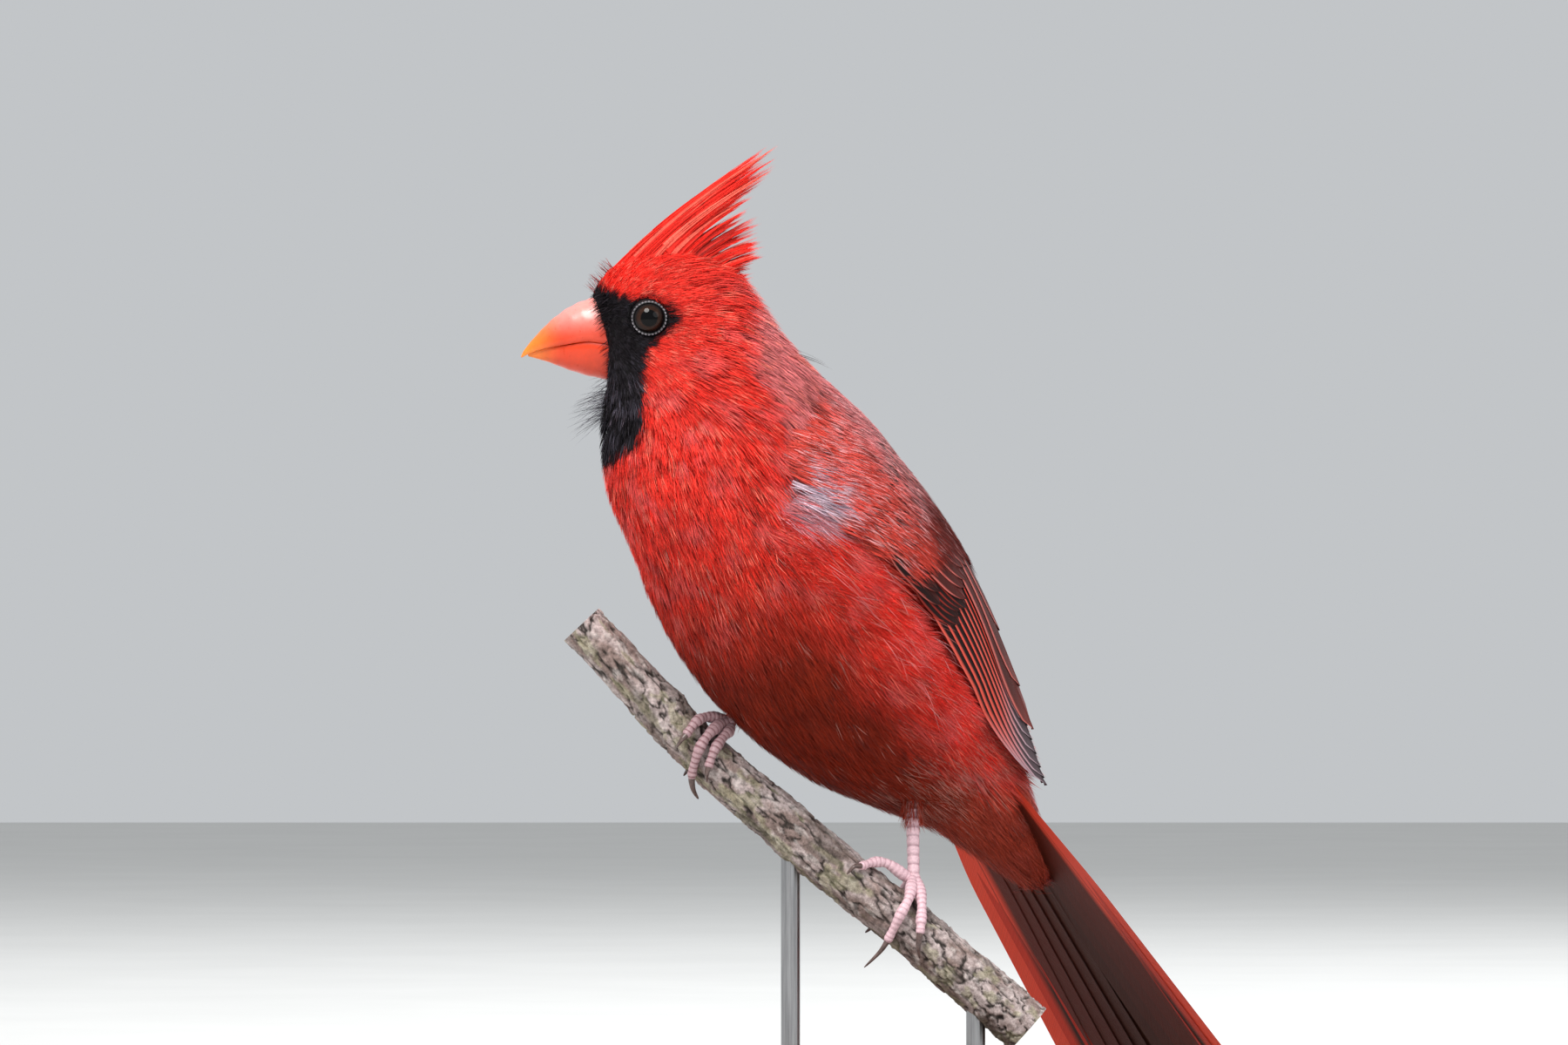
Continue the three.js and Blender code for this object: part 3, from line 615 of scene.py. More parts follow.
# Lie of the coat: u, v, w, turn of a place, and forward, out and up of the feathers there, and reach
LIE = [
    (19, 2, 200, 0, -0.62, 0.0, 0.78, 7), (10, 5, 207, 0, -0.74, 0.0, 0.67, 8),
    (-4, 6, 206, 0, -0.93, 0.0, 0.36, 8), (17, 7, 194, 0, -0.88, 0.2, -0.42, 4),
    (12, 10, 190, 0, -0.7, 0.1, -0.7, 4), (7, 11, 199, 0, -0.97, 0.0, 0.22, 5),
    (-3, 13, 195, 0, -1.0, 0.0, -0.04, 7), (8, 13, 186.5, 0, -0.86, 0.0, -0.5, 5),
    (0, 15, 187, 0, -0.97, 0.0, -0.24, 7), (4, 15, 177, 0, -0.66, 0.0, -0.75, 7),
    (-12, 16, 182, 0.1, -0.87, 0.0, -0.5, 9), (-24, 8, 186, 0.3, -0.78, 0.0, -0.63, 10),
    (17, 4, 180, 0, 0.1, 0.0, -1.0, 6), (16, 6, 169, 0.2, -0.1, 0.1, -0.99, 8),
    (10, 14, 160, 0.5, -0.3, 0.1, -0.95, 10), (4, 12, 140, 1, -0.4, 0.1, -0.92, 14),
    (-18, 28, 150, 1, -0.66, 0.0, -0.75, 12), (-20, 27, 128, 1, -0.6, 0.0, -0.8, 14),
    (-30, 12, 108, 1, -0.62, 0.0, -0.78, 14), (-48, 28, 112, 1, -0.84, 0.0, -0.54, 12),
    (-58, 24, 98, 1, -0.93, 0.0, -0.38, 11), (-60, 10, 82, 1, -0.84, 0.0, -0.52, 12),
    (-76, 14, 84, 1, -0.72, 0.0, -0.7, 12), (-90, 0, 72, 1, -0.62, 0.0, -0.78, 12),
    (-40, 0, 150, 1, -0.69, 0.0, -0.73, 24), (-70, 0, 118, 1, -0.69, 0.0, -0.73, 24),
]
LIE_BOTH = [(*row[:1], side * row[1], *row[2:5], side * row[5], *row[6:]) for row in LIE for side in (1, -1)]
LIE_PLACES = np.array([place(*row[:4]) for row in LIE_BOTH])
LIE_WAYS = np.array([heading(*row[4:7], row[3]) for row in LIE_BOTH])
LIE_REACHES = np.array([row[7] for row in LIE_BOTH], float)


def lie_of_coat(points, normals):
    """The way that the feathers lie at points of the skin, as unit vectors along it."""
    far = np.linalg.norm(points[:, None, :] - LIE_PLACES[None], axis=-1) / LIE_REACHES
    weights = np.exp(-far ** 2) + 1e-6 / (1e-3 + far ** 4)
    ways = unit(weights @ LIE_WAYS)
    return unit(ways - normals * np.sum(ways * normals, axis=-1)[:, None])


# Tufts: thin tapered barbs that spring from one root and lie along the skin

SPINE_STEPS = 3  # steps of a tuft's path along the skin
BARB_TAPER = np.array([0.7, 1.0, 0.75, 0.0])


class Coat:
    """Gathers barbs and makes them into pieces of less than PIECE_TRIANGLES triangles."""

    def __init__(self, name):
        self.name = name
        self.pairs, self.paint, self.uv = [], [], []

    def add(self, centre, across, widths, paint, uv):
        """Barbs with the same number of rungs: centre and across are (barbs, rungs, 3), widths and
        paint follow, and uv is each barb's root on the map. The last rung is a point."""
        half = across * widths[..., None] / 2
        self.pairs.append(np.stack([centre - half, centre + half], 2))
        self.paint.append(np.repeat(paint[:, :, None, :], 2, axis=2))
        self.uv.append(uv)

    def pieces(self, order=slice(None)):
        """Makes the mesh pieces, each from whole barbs, in the given order of barbs."""
        pairs, paint, uv = (np.concatenate(values)[order] for values in (self.pairs, self.paint, self.uv))
        per_piece = PIECE_TRIANGLES // (2 * pairs.shape[1] - 3)
        made = []
        for start in range(0, len(pairs), per_piece):
            chunk = slice(start, start + per_piece)
            made.append(self.piece(len(made), pairs[chunk], paint[chunk], uv[chunk]))
        return made

    def piece(self, number, pairs, paint, uv):
        barbs, rungs = pairs.shape[:2]
        keep = np.ones((rungs, 2), bool)
        keep[-1, 1] = False
        count = 2 * rungs - 1
        quads = [(2 * r, 2 * r + 1, 2 * r + 3, 2 * r + 2) for r in range(rungs - 2)]
        last = 2 * (rungs - 2)
        pattern = np.array([i for quad in quads for i in quad] + [last, last + 1, last + 2])
        loops = (np.arange(barbs)[:, None] * count + pattern[None]).ravel()
        sizes = np.tile([4] * len(quads) + [3], barbs)
        starts = np.concatenate([[0], np.cumsum(sizes)[:-1]])
        mesh = bpy.data.meshes.new(f"{self.name}_{number}")
        mesh.vertices.add(barbs * count)
        mesh.vertices.foreach_set("co", (pairs[:, keep].reshape(-1) * MM).astype(np.float32))
        mesh.loops.add(len(loops))
        mesh.loops.foreach_set("vertex_index", loops.astype(np.int32))
        mesh.polygons.add(len(sizes))
        mesh.polygons.foreach_set("loop_start", starts.astype(np.int32))
        mesh.update(calc_edges=True)
        thing = finished(mesh, COAT_MATERIAL)
        store_colours(thing, "paint", paint[:, keep])
        spread = np.array([(r / (rungs - 1), c) for r in range(rungs) for c in (0, 1)][:count])
        corner_map(thing, uv[:, None, :] + (spread[pattern][None] - 0.5) * PATCH)
        return thing


def rail(points, normals, step):
    """Paths of SPINE_STEPS steps along the skin from points, with normals and ways at each rung."""
    spots, ups, ways = [points], [normals], [lie_of_coat(points, normals)]
    for _ in range(SPINE_STEPS):
        spot, up = nearest_on_skin(spots[-1] + ways[-1] * step[:, None])
        spots.append(spot)
        ups.append(up)
        ways.append(lie_of_coat(spot, up))
    return np.stack(spots, 1), np.stack(ups, 1), np.stack(ways, 1)


def barbs_of(coat, rails, length, spread, width, lift, paint, uv, count, stray=0.1, tip_highlight=0.34):
    """Adds count barbs to each tuft. rails holds spots, normals and ways; the rest is for each tuft."""
    spots, ups, ways = rails
    tufts, rungs = spots.shape[:2]
    share = np.linspace(0, 1, rungs)[None, :]
    sides = np.cross(ups, ways)
    row = np.arange(tufts)[:, None]
    paint = np.repeat(paint[:, None, :], rungs, axis=1)
    for number in range(count):
        place_across = (number + 0.5) / count * 2 - 1
        offset = spread * (place_across + rng.normal(0, 0.25, tufts))
        fan = rng.normal(0, stray, tufts) + 0.12 * place_across
        reach = rng.uniform(0.72, 1.12, tufts)
        height = lift * rng.uniform(0.45, 1.15, tufts)
        sway = rng.normal(0, 0.05, tufts)
        along = share * reach[:, None]
        low = np.clip(along * (rungs - 1), 0, rungs - 1 - 1e-6)
        first = low.astype(int)
        base = tint(spots[row, first], spots[row, first + 1], low - first)
        base = base + ways[:, -1:, :] * np.maximum(along - 1, 0)[..., None] * length[:, None, None]
        aside = offset[:, None] * (1 - 0.45 * share)
        aside = aside + length[:, None] * (fan[:, None] * share + sway[:, None] * share ** 2)
        rise = -0.25 + height[:, None] * (0.25 + 0.75 * share ** 0.8) * np.minimum(share * 6, 1)
        centre = base + sides * aside[..., None] + ups * rise[..., None]
        roll = rng.normal(0, 0.45, tufts)[:, None, None]
        across = unit(sides * np.cos(roll) + ups * np.sin(roll))
        widths = width[:, None] * BARB_TAPER * rng.uniform(0.75, 1.25, tufts)[:, None]
        tone = rng.normal(1.0, 0.13, tufts)[:, None, None]
        shades = paint * tone * (0.8 + 0.25 * share[..., None])
        # light: share of a painted highlight that grows towards the barb's tip, scaled by how bright the
        # paint is
        light = tip_highlight * rng.uniform(0, 1, tufts) ** 3
        bright = paint.max(axis=(1, 2))[:, None, None] / 0.8
        shades = tint(shades, HIGHLIGHT_STREAK * bright, light[:, None] * share)
        coat.add(centre, across, widths, np.clip(shades, 0, 1), uv)


# Coat of the head, neck and trunk

BODY_TUFTS = 25000
BARBS_PER_TUFT = 8
FACE_DENSITY = 3.2  # how much denser the tufts are on the face
EYE_CLEAR = 4.1  # no feather springs nearer to the eye's middle than this
WING_REACH = 9.0  # behind the shoulder, skin with a wing nearer over it than this has no coat
# Length of the tufts by section number
TUFT_LENGTHS = ([0, 1.5, 3, 4.5, 6, 8, 11, 14, 16, 19], [2.0, 2.6, 3.4, 4.6, 5.4, 6.4, 7.2, 7.6, 8.6, 8.0])


def cad_tree(*names):
    """A tree for casts against CAD nodes, in mm."""
    verts, faces = gathered(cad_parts[name].data for name in names)
    return BVHTree.FromPolygons([v / MM for v in verts], faces)


def scattered(verts, faces, count, density):
    """Random points on a surface with their normals, denser where density is higher."""
    quads = np.array([face if len(face) == 4 else (*face, face[-1]) for face in faces])
    tris = np.concatenate([quads[:, [0, 1, 2]], quads[:, [0, 2, 3]]])
    a, b, c = verts[tris[:, 0]], verts[tris[:, 1]], verts[tris[:, 2]]
    crosses = np.cross(b - a, c - a)
    weights = np.linalg.norm(crosses, axis=1) * density((a + b + c) / 3)
    picks = rng.choice(len(tris), count, p=weights / weights.sum())
    r, s = rng.uniform(0, 1, (2, count))
    flip = r + s > 1
    r, s = np.where(flip, 1 - r, r), np.where(flip, 1 - s, s)
    points = a[picks] + r[:, None] * (b - a)[picks] + s[:, None] * (c - a)[picks]
    return points, unit(crosses[picks])


def bare_places(points, normals):
    """True under a folded wing, round the eyes and where the bill springs from the face."""
    wings = cad_tree("wing_left", "wing_right")
    under = [wings.ray_cast(Vector(p), Vector(n), WING_REACH)[0] is not None for p, n in zip(points, normals)]
    u, v, w = own_frame(points)
    bill_base = (u > 15.5) & (np.abs(v) < 5.2) & (w > 180.5) & (w < 197.0)
    eyes = (np.hypot(u - EYE_U, w - EYE_W) < EYE_CLEAR) & (np.abs(v) > 6)
    return (np.array(under) & ((points - AXIS_START) @ AXIS > 0)) | eyes | bill_base


def coat_sizes(points, at, angle):
    """Length, lift and barb width of the tufts, in mm, and how far they spread."""
    face = face_share(points)
    u, v, w = own_frame(points)
    lores = np.exp(-((u - 13) / 5) ** 2 - ((w - 191) / 7) ** 2) * face
    crown = ramp(angle, 35, 70) * (1 - ramp(at, 3.5, 5.5)) * ramp(at, 1.8, 3.0)
    chin = hump(at, 1.0, 1.3) * ramp(-angle, 40, 75)
    flank = hump(at, 12.6, 2.6) * hump(angle, -6, 20)
    belly = ramp(at, 13.0, 15.0) * ramp(-angle, 20, 60)
    tail_end = ramp(at, 16.5, 18.5)
    thigh = sum(hump(np.linalg.norm(points - place(*top), axis=-1), 0, 9.0) for top in LEG_TOPS.values())
    length = blend(np.interp(at, *TUFT_LENGTHS), 1.7, np.clip(lores, 0, 1))
    length = length + 4.4 * crown + 2.6 * chin + 3.0 * flank + 2.0 * belly + 8.0 * tail_end + 3.0 * thigh
    lift = blend(COAT_DEPTH, 0.75, face) + 1.0 * flank + 1.0 * belly + 0.5 * chin
    lift = lift - 0.6 * tail_end + thigh + 1.8 * crown
    return length, lift, blend(0.19, 0.11, face), blend(0.85, 0.4, face)


def coat_tones(points, paint, at):
    """The tufts' colours: the markings, with dark specks, grey gaps and painted highlight streaks among them.
    """
    count = len(points)
    tone = rng.normal(1.0, 0.1, count) * (1 + 0.16 * clouds(points, 5.0, 5.5, 3))
    body = ramp(at, 4.0, 7.0)
    specks = chance(0.1, count) * ramp(clouds(points, 11.0, 1.7), -0.25, 0.25) * body
    greyish = chance(0.015 + 0.3 * hump(at, 14.2, 0.9), count) * body
    paint = layered(paint * tone[:, None], (DARK_SPECK, 0.75 * specks), (FLUFF, 0.55 * greyish))
    red_enough = ramp(paint[:, 0], 0.3, 0.6)
    # streaks: red tufts that take a painted highlight
    streaks = chance(0.1, count) * red_enough
    dull = ramp(clouds(points, 6.0, 8.8, 3), 0.05, 0.45) * ramp(at, 3.0, 4.5) * red_enough
    paint = layered(paint, (HIGHLIGHT_STREAK, 0.5 * streaks), (ROSE, 0.3 * dull))
    sooty = 1 - ramp(paint.max(axis=1), 0.01, 0.06)
    bib = 1 - ramp(points[:, 2], 176, 188)
    # Black tufts take a grey that is partly painted blue-grey sheen, most of all on the bib
    grey_and_sheen = rng.uniform(0, 1, count) ** 3 * sooty * blend(0.15, 0.8, bib)
    down = down_share(points)
    coral = 0.8 * down * chance(0.22, count)
    slate = 0.9 * down * rng.uniform(0, 1, count) ** 2
    return layered(paint, (MASK_GREY_AND_SHEEN, grey_and_sheen), (CORAL, coral), (DOWN_DARK, slate))


def marked_tones(points, at, angle):
    """The tufts' colours with a ragged edge between the markings."""
    return coat_tones(points, markings(points, at, angle, rng.normal(0, 0.35, len(points))), at)


def body_coat():
    points, normals = scattered(
        skin_verts, skin_faces, BODY_TUFTS, lambda spots: 1.0 + FACE_DENSITY * face_share(spots)
    )
    keep = ~bare_places(points, normals)
    points, normals = points[keep], normals[keep]
    at, angle, side = body_place(points)
    length, lift, width, spread = coat_sizes(points, at, angle)
    paint = marked_tones(points, at, angle)
    length = length * rng.uniform(0.75, 1.2, len(points))
    rails = rail(points, normals, length / SPINE_STEPS)
    coat = Coat("coat_body")
    barbs_of(coat, rails, length, spread, width, lift, paint, unwrap(at, angle, side), BARBS_PER_TUFT)
    coat.pieces(np.argsort(np.tile(at, BARBS_PER_TUFT), kind="stable"))


# Wings: vanes laid on the outer side of the folded wing, given by the way along the trunk's axis from
# the shoulder in mm and the angle up from the flank in degrees

AXIS_START = place(-17.2, 0, 152.2)
AXIS = unit(place(-95.4, 0, 69.6) - AXIS_START)
LEFT = unit(heading(0, 1, 0))
DORSAL = unit(np.cross(AXIS, -LEFT))
DORSAL = DORSAL * np.sign(DORSAL[2])
ALONG_STEP, ANGLE_STEP = 3.0, 5.0
ALONGS = np.arange(-18.0, 112.1, ALONG_STEP)
ANGLES = np.arange(-30.0, 96.0, ANGLE_STEP)
CAST_FROM = 70  # mm from the axis
LEAST_RADII = ([0, 78, 84, 96, 112], [20, 20, 19.5, 17.5, 16.5])  # by the way along
SIDE_NAMES = {1: "left", -1: "right"}


def wing_radii(side):
    """How far the folded wing's outer side is from the axis, over ALONGS and ANGLES."""
    tree = cad_tree("wing_" + SIDE_NAMES[side], "trunk", "neck")
    radii = np.zeros((len(ALONGS), len(ANGLES)))
    for i, along in enumerate(ALONGS):
        middle = Vector(AXIS_START + along * AXIS)
        for j, angle in enumerate(np.radians(ANGLES)):
            way = Vector(np.cos(angle) * LEFT * side + np.sin(angle) * DORSAL)
            hit = tree.ray_cast(middle + way * CAST_FROM, -way, CAST_FROM)[0]
            radii[i, j] = 0.0 if hit is None else (hit - middle).length
    radii = np.maximum(radii, np.interp(ALONGS, *LEAST_RADII)[:, None])
    for _ in range(2):
        padded = np.pad(radii, 1, mode="edge")
        radii = (padded[:-2, 1:-1] + padded[2:, 1:-1] + padded[1:-1, :-2] + padded[1:-1, 2:] + 2 * radii) / 6
    return radii


RADII = {side: wing_radii(side) for side in SIDE_NAMES}


def wing_radius(along, angle, side):
    radii = RADII[side]
    i = np.clip((along - ALONGS[0]) / ALONG_STEP, 0, len(ALONGS) - 1.001)
    j = np.clip((angle - ANGLES[0]) / ANGLE_STEP, 0, len(ANGLES) - 1.001)
    a, b = i.astype(int), j.astype(int)
    near = blend(radii[a, b], radii[a + 1, b], i - a)
    far = blend(radii[a, b + 1], radii[a + 1, b + 1], i - a)
    return blend(near, far, j - b)


def wing_out(angle, side):
    """The way out from the axis at an angle in degrees."""
    turn = np.radians(angle)[..., None]
    return np.cos(turn) * LEFT * side + np.sin(turn) * DORSAL


def on_wing(along, angle, lift, side):
    """The point over the folded wing at a height of lift mm."""
    radius = wing_radius(along, angle, side) + lift
    return AXIS_START + along[..., None] * AXIS + radius[..., None] * wing_out(angle, side)


VANE_ACROSS = np.array([-1.0, -0.9, -0.78, -0.7, -0.35, -0.06, 0.0, 0.06, 0.45, 1.0])
VANE_STEPS = 20
SHAFT = 6  # the column of VANE_ACROSS that is the shaft
IS_SHAFT = VANE_ACROSS == 0


def vane_outline(share, point=0.35, root=0.45):
    """A vane's half width along it, as a share of its greatest."""
    swell = root + (1 - root) * ramp(share, 0.0, 0.4)
    tip = np.sqrt(np.clip(1 - np.clip((share - (1 - point)) / point, 0, 1) ** 2.2, 0.0, 1))
    return np.maximum(swell * tip, 0.03)


class Vanes:
    """Gathers flat feathers and makes them into one mesh."""

    def __init__(self):
        self.verts, self.faces, self.paint, self.vane = [], [], [], []

    def add(self, points, paint, vane):
        """A grid of points (steps, columns, 3) with its colours and its along and across in mm."""
        start = sum(len(v) for v in self.verts)
        for values, grid in ((self.verts, points), (self.paint, paint), (self.vane, vane)):
            values.append(grid.reshape(-1, 3))
        grid_faces = loft_faces(*points.shape[:2], closed=False, caps=False)
        self.faces.extend(tuple(start + i for i in face) for face in grid_faces)

    def make(self, name):
        paint = np.concatenate(self.paint)
        verts = np.concatenate(self.verts)
        thing = new_object(name, verts, self.faces, VANE_MATERIAL, paint)
        store_colours(thing, "vane", np.concatenate(self.vane))
        corner_map(thing, vane_map(self.vane, self.faces))
        return thing


def vane_map(vanes, faces):
    """Lays the feathers beside each other on the map, in a square grid of cells."""
    cells = math.ceil(math.sqrt(len(vanes)))
    uv = []
    for number, vane in enumerate(vanes):
        low, high = vane.min(0), vane.max(0)
        share = (vane - low)[:, :2] / np.maximum(high - low, 1e-6)[:2]
        uv.append((np.array([number % cells, number // cells]) + 0.04 + 0.92 * share) / cells)
    uv = np.concatenate(uv)
    return np.concatenate([uv[list(face)] for face in faces])


def feather_paint(share, edge, dark, web, tip, edge_to, tip_from):
    """Colours over a vane: a bright outer edge, dark next to it, and the web's own colour inside. The dark
    next to the edge is partly the web's own dark and partly painted shadow under the overlapping feather.
    """
    share = share[:, None]
    across = VANE_ACROSS[None, :]
    line = across < blend(edge_to, min(edge_to, -0.88), ramp(share, tip_from - 0.1, tip_from + 0.15))
    return layered(
        tint(dark, web, ramp(across, -0.5, 0.6) + 0 * share), (edge, line),
        (tip, ramp(share, tip_from, 1.0) * (0.2 + 0.8 * line)), (dark * 0.5, 0.6 * IS_SHAFT + 0 * share),
    )


def vane_places(along, across):
    """What a vane stores for its barbs: along and across in mm."""
    return np.stack([along, across + ACROSS_START, 0 * across], -1)


def wing_feather(
    vanes, side, root, tip, width, lift, colours, bend=0.0, tilt=0.3, point=0.3, edge_to=-0.74, tip_from=0.8,
):
    """One vane on the wing from root to tip, each as [along, angle]. tilt lifts its lower edge."""
    share = np.linspace(0, 1, VANE_STEPS)
    along = blend(root[0], tip[0], share)
    angle = blend(root[1], tip[1], share) + bend * np.sin(math.pi * share)
    half = width / 2 * vane_outline(share, point)
    across = VANE_ACROSS[None, :] * half[:, None]
    angles = angle[:, None] + np.degrees(across / wing_radius(along, angle, side)[:, None])
    alongs = along[:, None] - 0.35 * np.abs(across) * ramp(share, 0.5, 1)[:, None]
    lifts = lift + 0.22 * (1 - VANE_ACROSS ** 2) - tilt * VANE_ACROSS + 0.12 * IS_SHAFT
    points = on_wing(alongs, angles, lifts[None, :] * ramp(share, -0.4, 0.3)[:, None], side)
    length = np.linalg.norm(np.diff(points[:, SHAFT], axis=0), axis=1).sum()
    paint = feather_paint(share, *colours, edge_to, tip_from)
    vanes.add(points, paint, vane_places(share[:, None] * length + 0 * across, across))


# Colours of the wing's feathers: edge, dark next to it, web and tip
DARK_COVERT = (CORAL * 0.35, BLACKISH, DARK_BROWN, DARK_BROWN)
LOW_COVERT = (ROSE_EDGE * 0.7, BLACKISH, DARK_BROWN, DARK_BROWN)
COVERT = (ROSE_EDGE, DARK_BROWN, BROWN_ROSE, BROWN_ROSE)
SECONDARY = (CORAL, BLACKISH, BROWN_ROSE, ROSE_EDGE)
TERTIAL = (ROSE_EDGE, DARK_BROWN, BROWN_ROSE, ROSE_EDGE)
PRIMARIES, SECONDARIES = 8, 6
TERTIALS = [(86, 39, 11.0), (76, 46, 11.4), (63, 54, 11.4)]  # along and angle of the tip, and width
# Rows of coverts: how many, the roots' and the tips' along and angle from the lowest to the highest
# feather, their width and lift, their colours and where the bright edge ends
COVERT_ROWS = [
    (6, [26, 20], [11, 20], [47, 47], [15, 27], 5.4, 1.0, DARK_COVERT, -0.82),
    (10, [20, 12], [20, 60], [45, 40], [28, 68], 6.4, 1.5, COVERT, -0.88),
    (11, [8, 2], [12, 60], [29, 24], [17, 68], 6.4, 1.8, COVERT, -0.88),
    (3, [16, 12], [9, 12], [40, 33], [13, 18], 4.4, 1.6, LOW_COVERT, -0.85),
]


def flight_feathers(vanes, side):
    for number in range(PRIMARIES):
        share = number / (PRIMARIES - 1)
        tip = (np.interp(share, [0, 0.25, 0.5, 1], [95, 99, 96, 84]), 23.5 + 13.0 * share)
        edge = tint(CORAL, CORAL_PALE, 0.35 * rng.uniform())
        wing_feather(
            vanes, side, (20 - 4 * share, 12 + 32 * share), tip, 7.4, 0.35 + 0.05 * number,
            (edge, BLACKISH, BLACKISH, LILAC), -1.5, 0.5, 0.22, edge_to=-0.79, tip_from=0.66,
        )
    for number in range(SECONDARIES):
        share = number / (SECONDARIES - 1)
        wing_feather(
            vanes, side, (20 - 6 * share, 46 + 12 * share), (80 - 11 * share, 41 + 8 * share), 8.4,
            0.8 + 0.05 * number, SECONDARY, -1.0, 0.45, 0.25, edge_to=-0.82,
        )
    for number, (*tip, width) in enumerate(TERTIALS):
        root = (12 - 3 * number, 48 + 8 * number)
        wing_feather(vanes, side, root, tip, width, 1.25 + 0.1 * number, TERTIAL, tilt=0.35, edge_to=-0.85)


def coverts(vanes, side):
    for count, *spans, width, lift, colours, edge_to in COVERT_ROWS:
        for number in range(count):
            root_along, root_angle, along, angle = (
                np.interp(number / (count - 1), [0, 1], span) for span in spans
            )
            jitter = rng.normal(0, 0.5)
            wing_feather(
                vanes, side, (root_along, root_angle), (along + 2 * jitter, angle + jitter), width,
                lift + 0.03 * number, colours, -1.5, 0.34, edge_to=edge_to,
            )


def folded_wing(side):
    vanes = Vanes()
    flight_feathers(vanes, side)
    coverts(vanes, side)
    node = "wing_" + SIDE_NAMES[side]
    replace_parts(vanes.make(node + "_feathers"), node)


# Small soft feathers over the shoulder, the flank and the rump

SHOULDER_TUFTS = 5200
FLANK_TUFTS = 2600
RUMP_TUFTS = 1500  # these fill the room between the body and the wing's rear part
LOOSE_BARBS = 260


def laid_tufts(name, side, along, angle, length, turn_by, lifts, rise, width, paint_of, barbs, stray):
    """Tufts whose paths are given on the wing: along in mm, angle up from the flank in degrees."""
    count = len(along)
    steps = np.linspace(0, 1, SPINE_STEPS + 1)[None, :]
    alongs = along[:, None] + steps * length[:, None]
    angles = angle[:, None] + steps * turn_by[:, None]
    spots = on_wing(alongs, angles, lifts(alongs, angles), side)
    rails = (spots, unit(wing_out(angles, side)), unit(np.gradient(spots, axis=1)))
    at, body_angle, _ = body_place(spots[:, 0])
    paint = paint_of(spots[:, 0], at, body_angle)
    uv = unwrap(at, body_angle, np.full(count, side))
    coat = Coat(f"{name}_{SIDE_NAMES[side]}")
    barbs_of(
        coat, rails, length, np.full(count, 0.8), np.full(count, width), np.full(count, rise), paint, uv,
        barbs, stray, tip_highlight=0.12,
    )
    coat.pieces()


def flank_coat(side):
    """The flank's feathers, which lie up over the folded wing's lower edge."""
    along = rng.uniform(-4, 66, FLANK_TUFTS)
    top = np.interp(along, [-4, 6, 20, 36, 50, 66], [-6, -5, -4, -4, -3, 1])
    angle = top - 26 * rng.uniform(0, 1, FLANK_TUFTS) ** 1.4
    laid_tufts(
        "coat_flank", side, along, angle, rng.uniform(6.0, 9.5, FLANK_TUFTS),
        rng.uniform(3.0, 9.0, FLANK_TUFTS), lambda alongs, angles: blend(-1.6, 0.25, ramp(angles, -26, -4)),
        1.5, 0.18, marked_tones, 7, 0.14,
    )


def rump_coat(side):
    laid_tufts(
        "coat_rump", side, rng.uniform(44, 86, RUMP_TUFTS), rng.uniform(-16, 62, RUMP_TUFTS),
        rng.uniform(8.0, 13.0, RUMP_TUFTS), rng.uniform(-2.0, 3.0, RUMP_TUFTS),
        lambda alongs, angles: np.linspace(-7.0, -1.6, SPINE_STEPS + 1) + 0 * alongs,
        0.8, 0.26, marked_tones, 7, 0.12,
    )


def loose_barbs(side):
    """Single pale barbs that stand off over the edge between flank and wing."""
    along = rng.uniform(-12, 64, LOOSE_BARBS)
    angle = rng.uniform(-18, 6, LOOSE_BARBS) + np.interp(along, [-12, 0, 10, 64], [22, 14, 0, 0])
    laid_tufts(
        "loose_barbs", side, along, angle, rng.uniform(6.0, 11.0, LOOSE_BARBS),
        rng.uniform(-2.0, 9.0, LOOSE_BARBS), lambda alongs, angles: 0.7 + 0 * alongs, 1.4, 0.085,
        lambda spots, at, body_angle: tint(CORAL, PALE_ROSE, rng.uniform(0.0, 0.9, len(spots))), 1, 0.16,
    )


def shoulder_coat(side):
    """Scapulars and lesser coverts: long soft tufts over the wing's front and upper part."""
    along = rng.uniform(-15, 44, SHOULDER_TUFTS)
    angle = rng.uniform(-4, 92, SHOULDER_TUFTS)
    lower = np.interp(along, [-15, 2, 8, 24, 32, 44], [4, -2, 2, 12, 50, 70])
    keep = angle > lower + rng.normal(0, 3, SHOULDER_TUFTS)
    along, angle = along[keep], angle[keep]
    count = len(along)
    length = blend(5.5, 9.5, ramp(along, 0, 25)) * rng.uniform(0.8, 1.2, count)
    turn_by = np.interp(angle, [0, 40, 90], [4.8, 1.6, 0])

    def paint_of(spots, at, body_angle):
        tone = rng.normal(1, 0.14, count) * (1 + 0.2 * clouds(spots, 5.0, 7.7, 3))
        brown = ramp(along + 5 * clouds(spots, 6.0, 2.6), 6, 20)
        red = ramp(36 - 0.5 * along - angle + 8 * clouds(spots, 5.0, 3.3), -14, 12)
        # The shoulder's rose and mantle tones are paler in part from painted sky sheen
        paint = layered(ROSE, (MANTLE, ramp(along, -6, 8)), (BROWN_ROSE, brown), (CORAL * 1.05, 0.9 * red))
        pale = chance(0.2 * (1 - ramp(along, 10, 26)) + 0.05, count)
        dark = chance(0.16, count)
        down = down_share(spots, rng.normal(0, 0.6, count)) * chance(0.8, count)
        slate = 0.9 * down * rng.uniform(0, 1, count) ** 2
        paint = layered(paint * tone[:, None], (PALE_ROSE, 0.75 * pale), (DARK_BROWN, 0.7 * dark))
        return layered(paint, (DOWN, down), (DOWN_DARK, slate))

    laid_tufts(
        "coat_shoulder", side, along, angle, length, turn_by,
        lambda alongs, angles: blend(-1.3, 1.3, ramp(alongs, -14, 7)), 1.5, 0.2, paint_of, 8, 0.1,
    )


# Tail: twelve feathers fanned from the tail's root

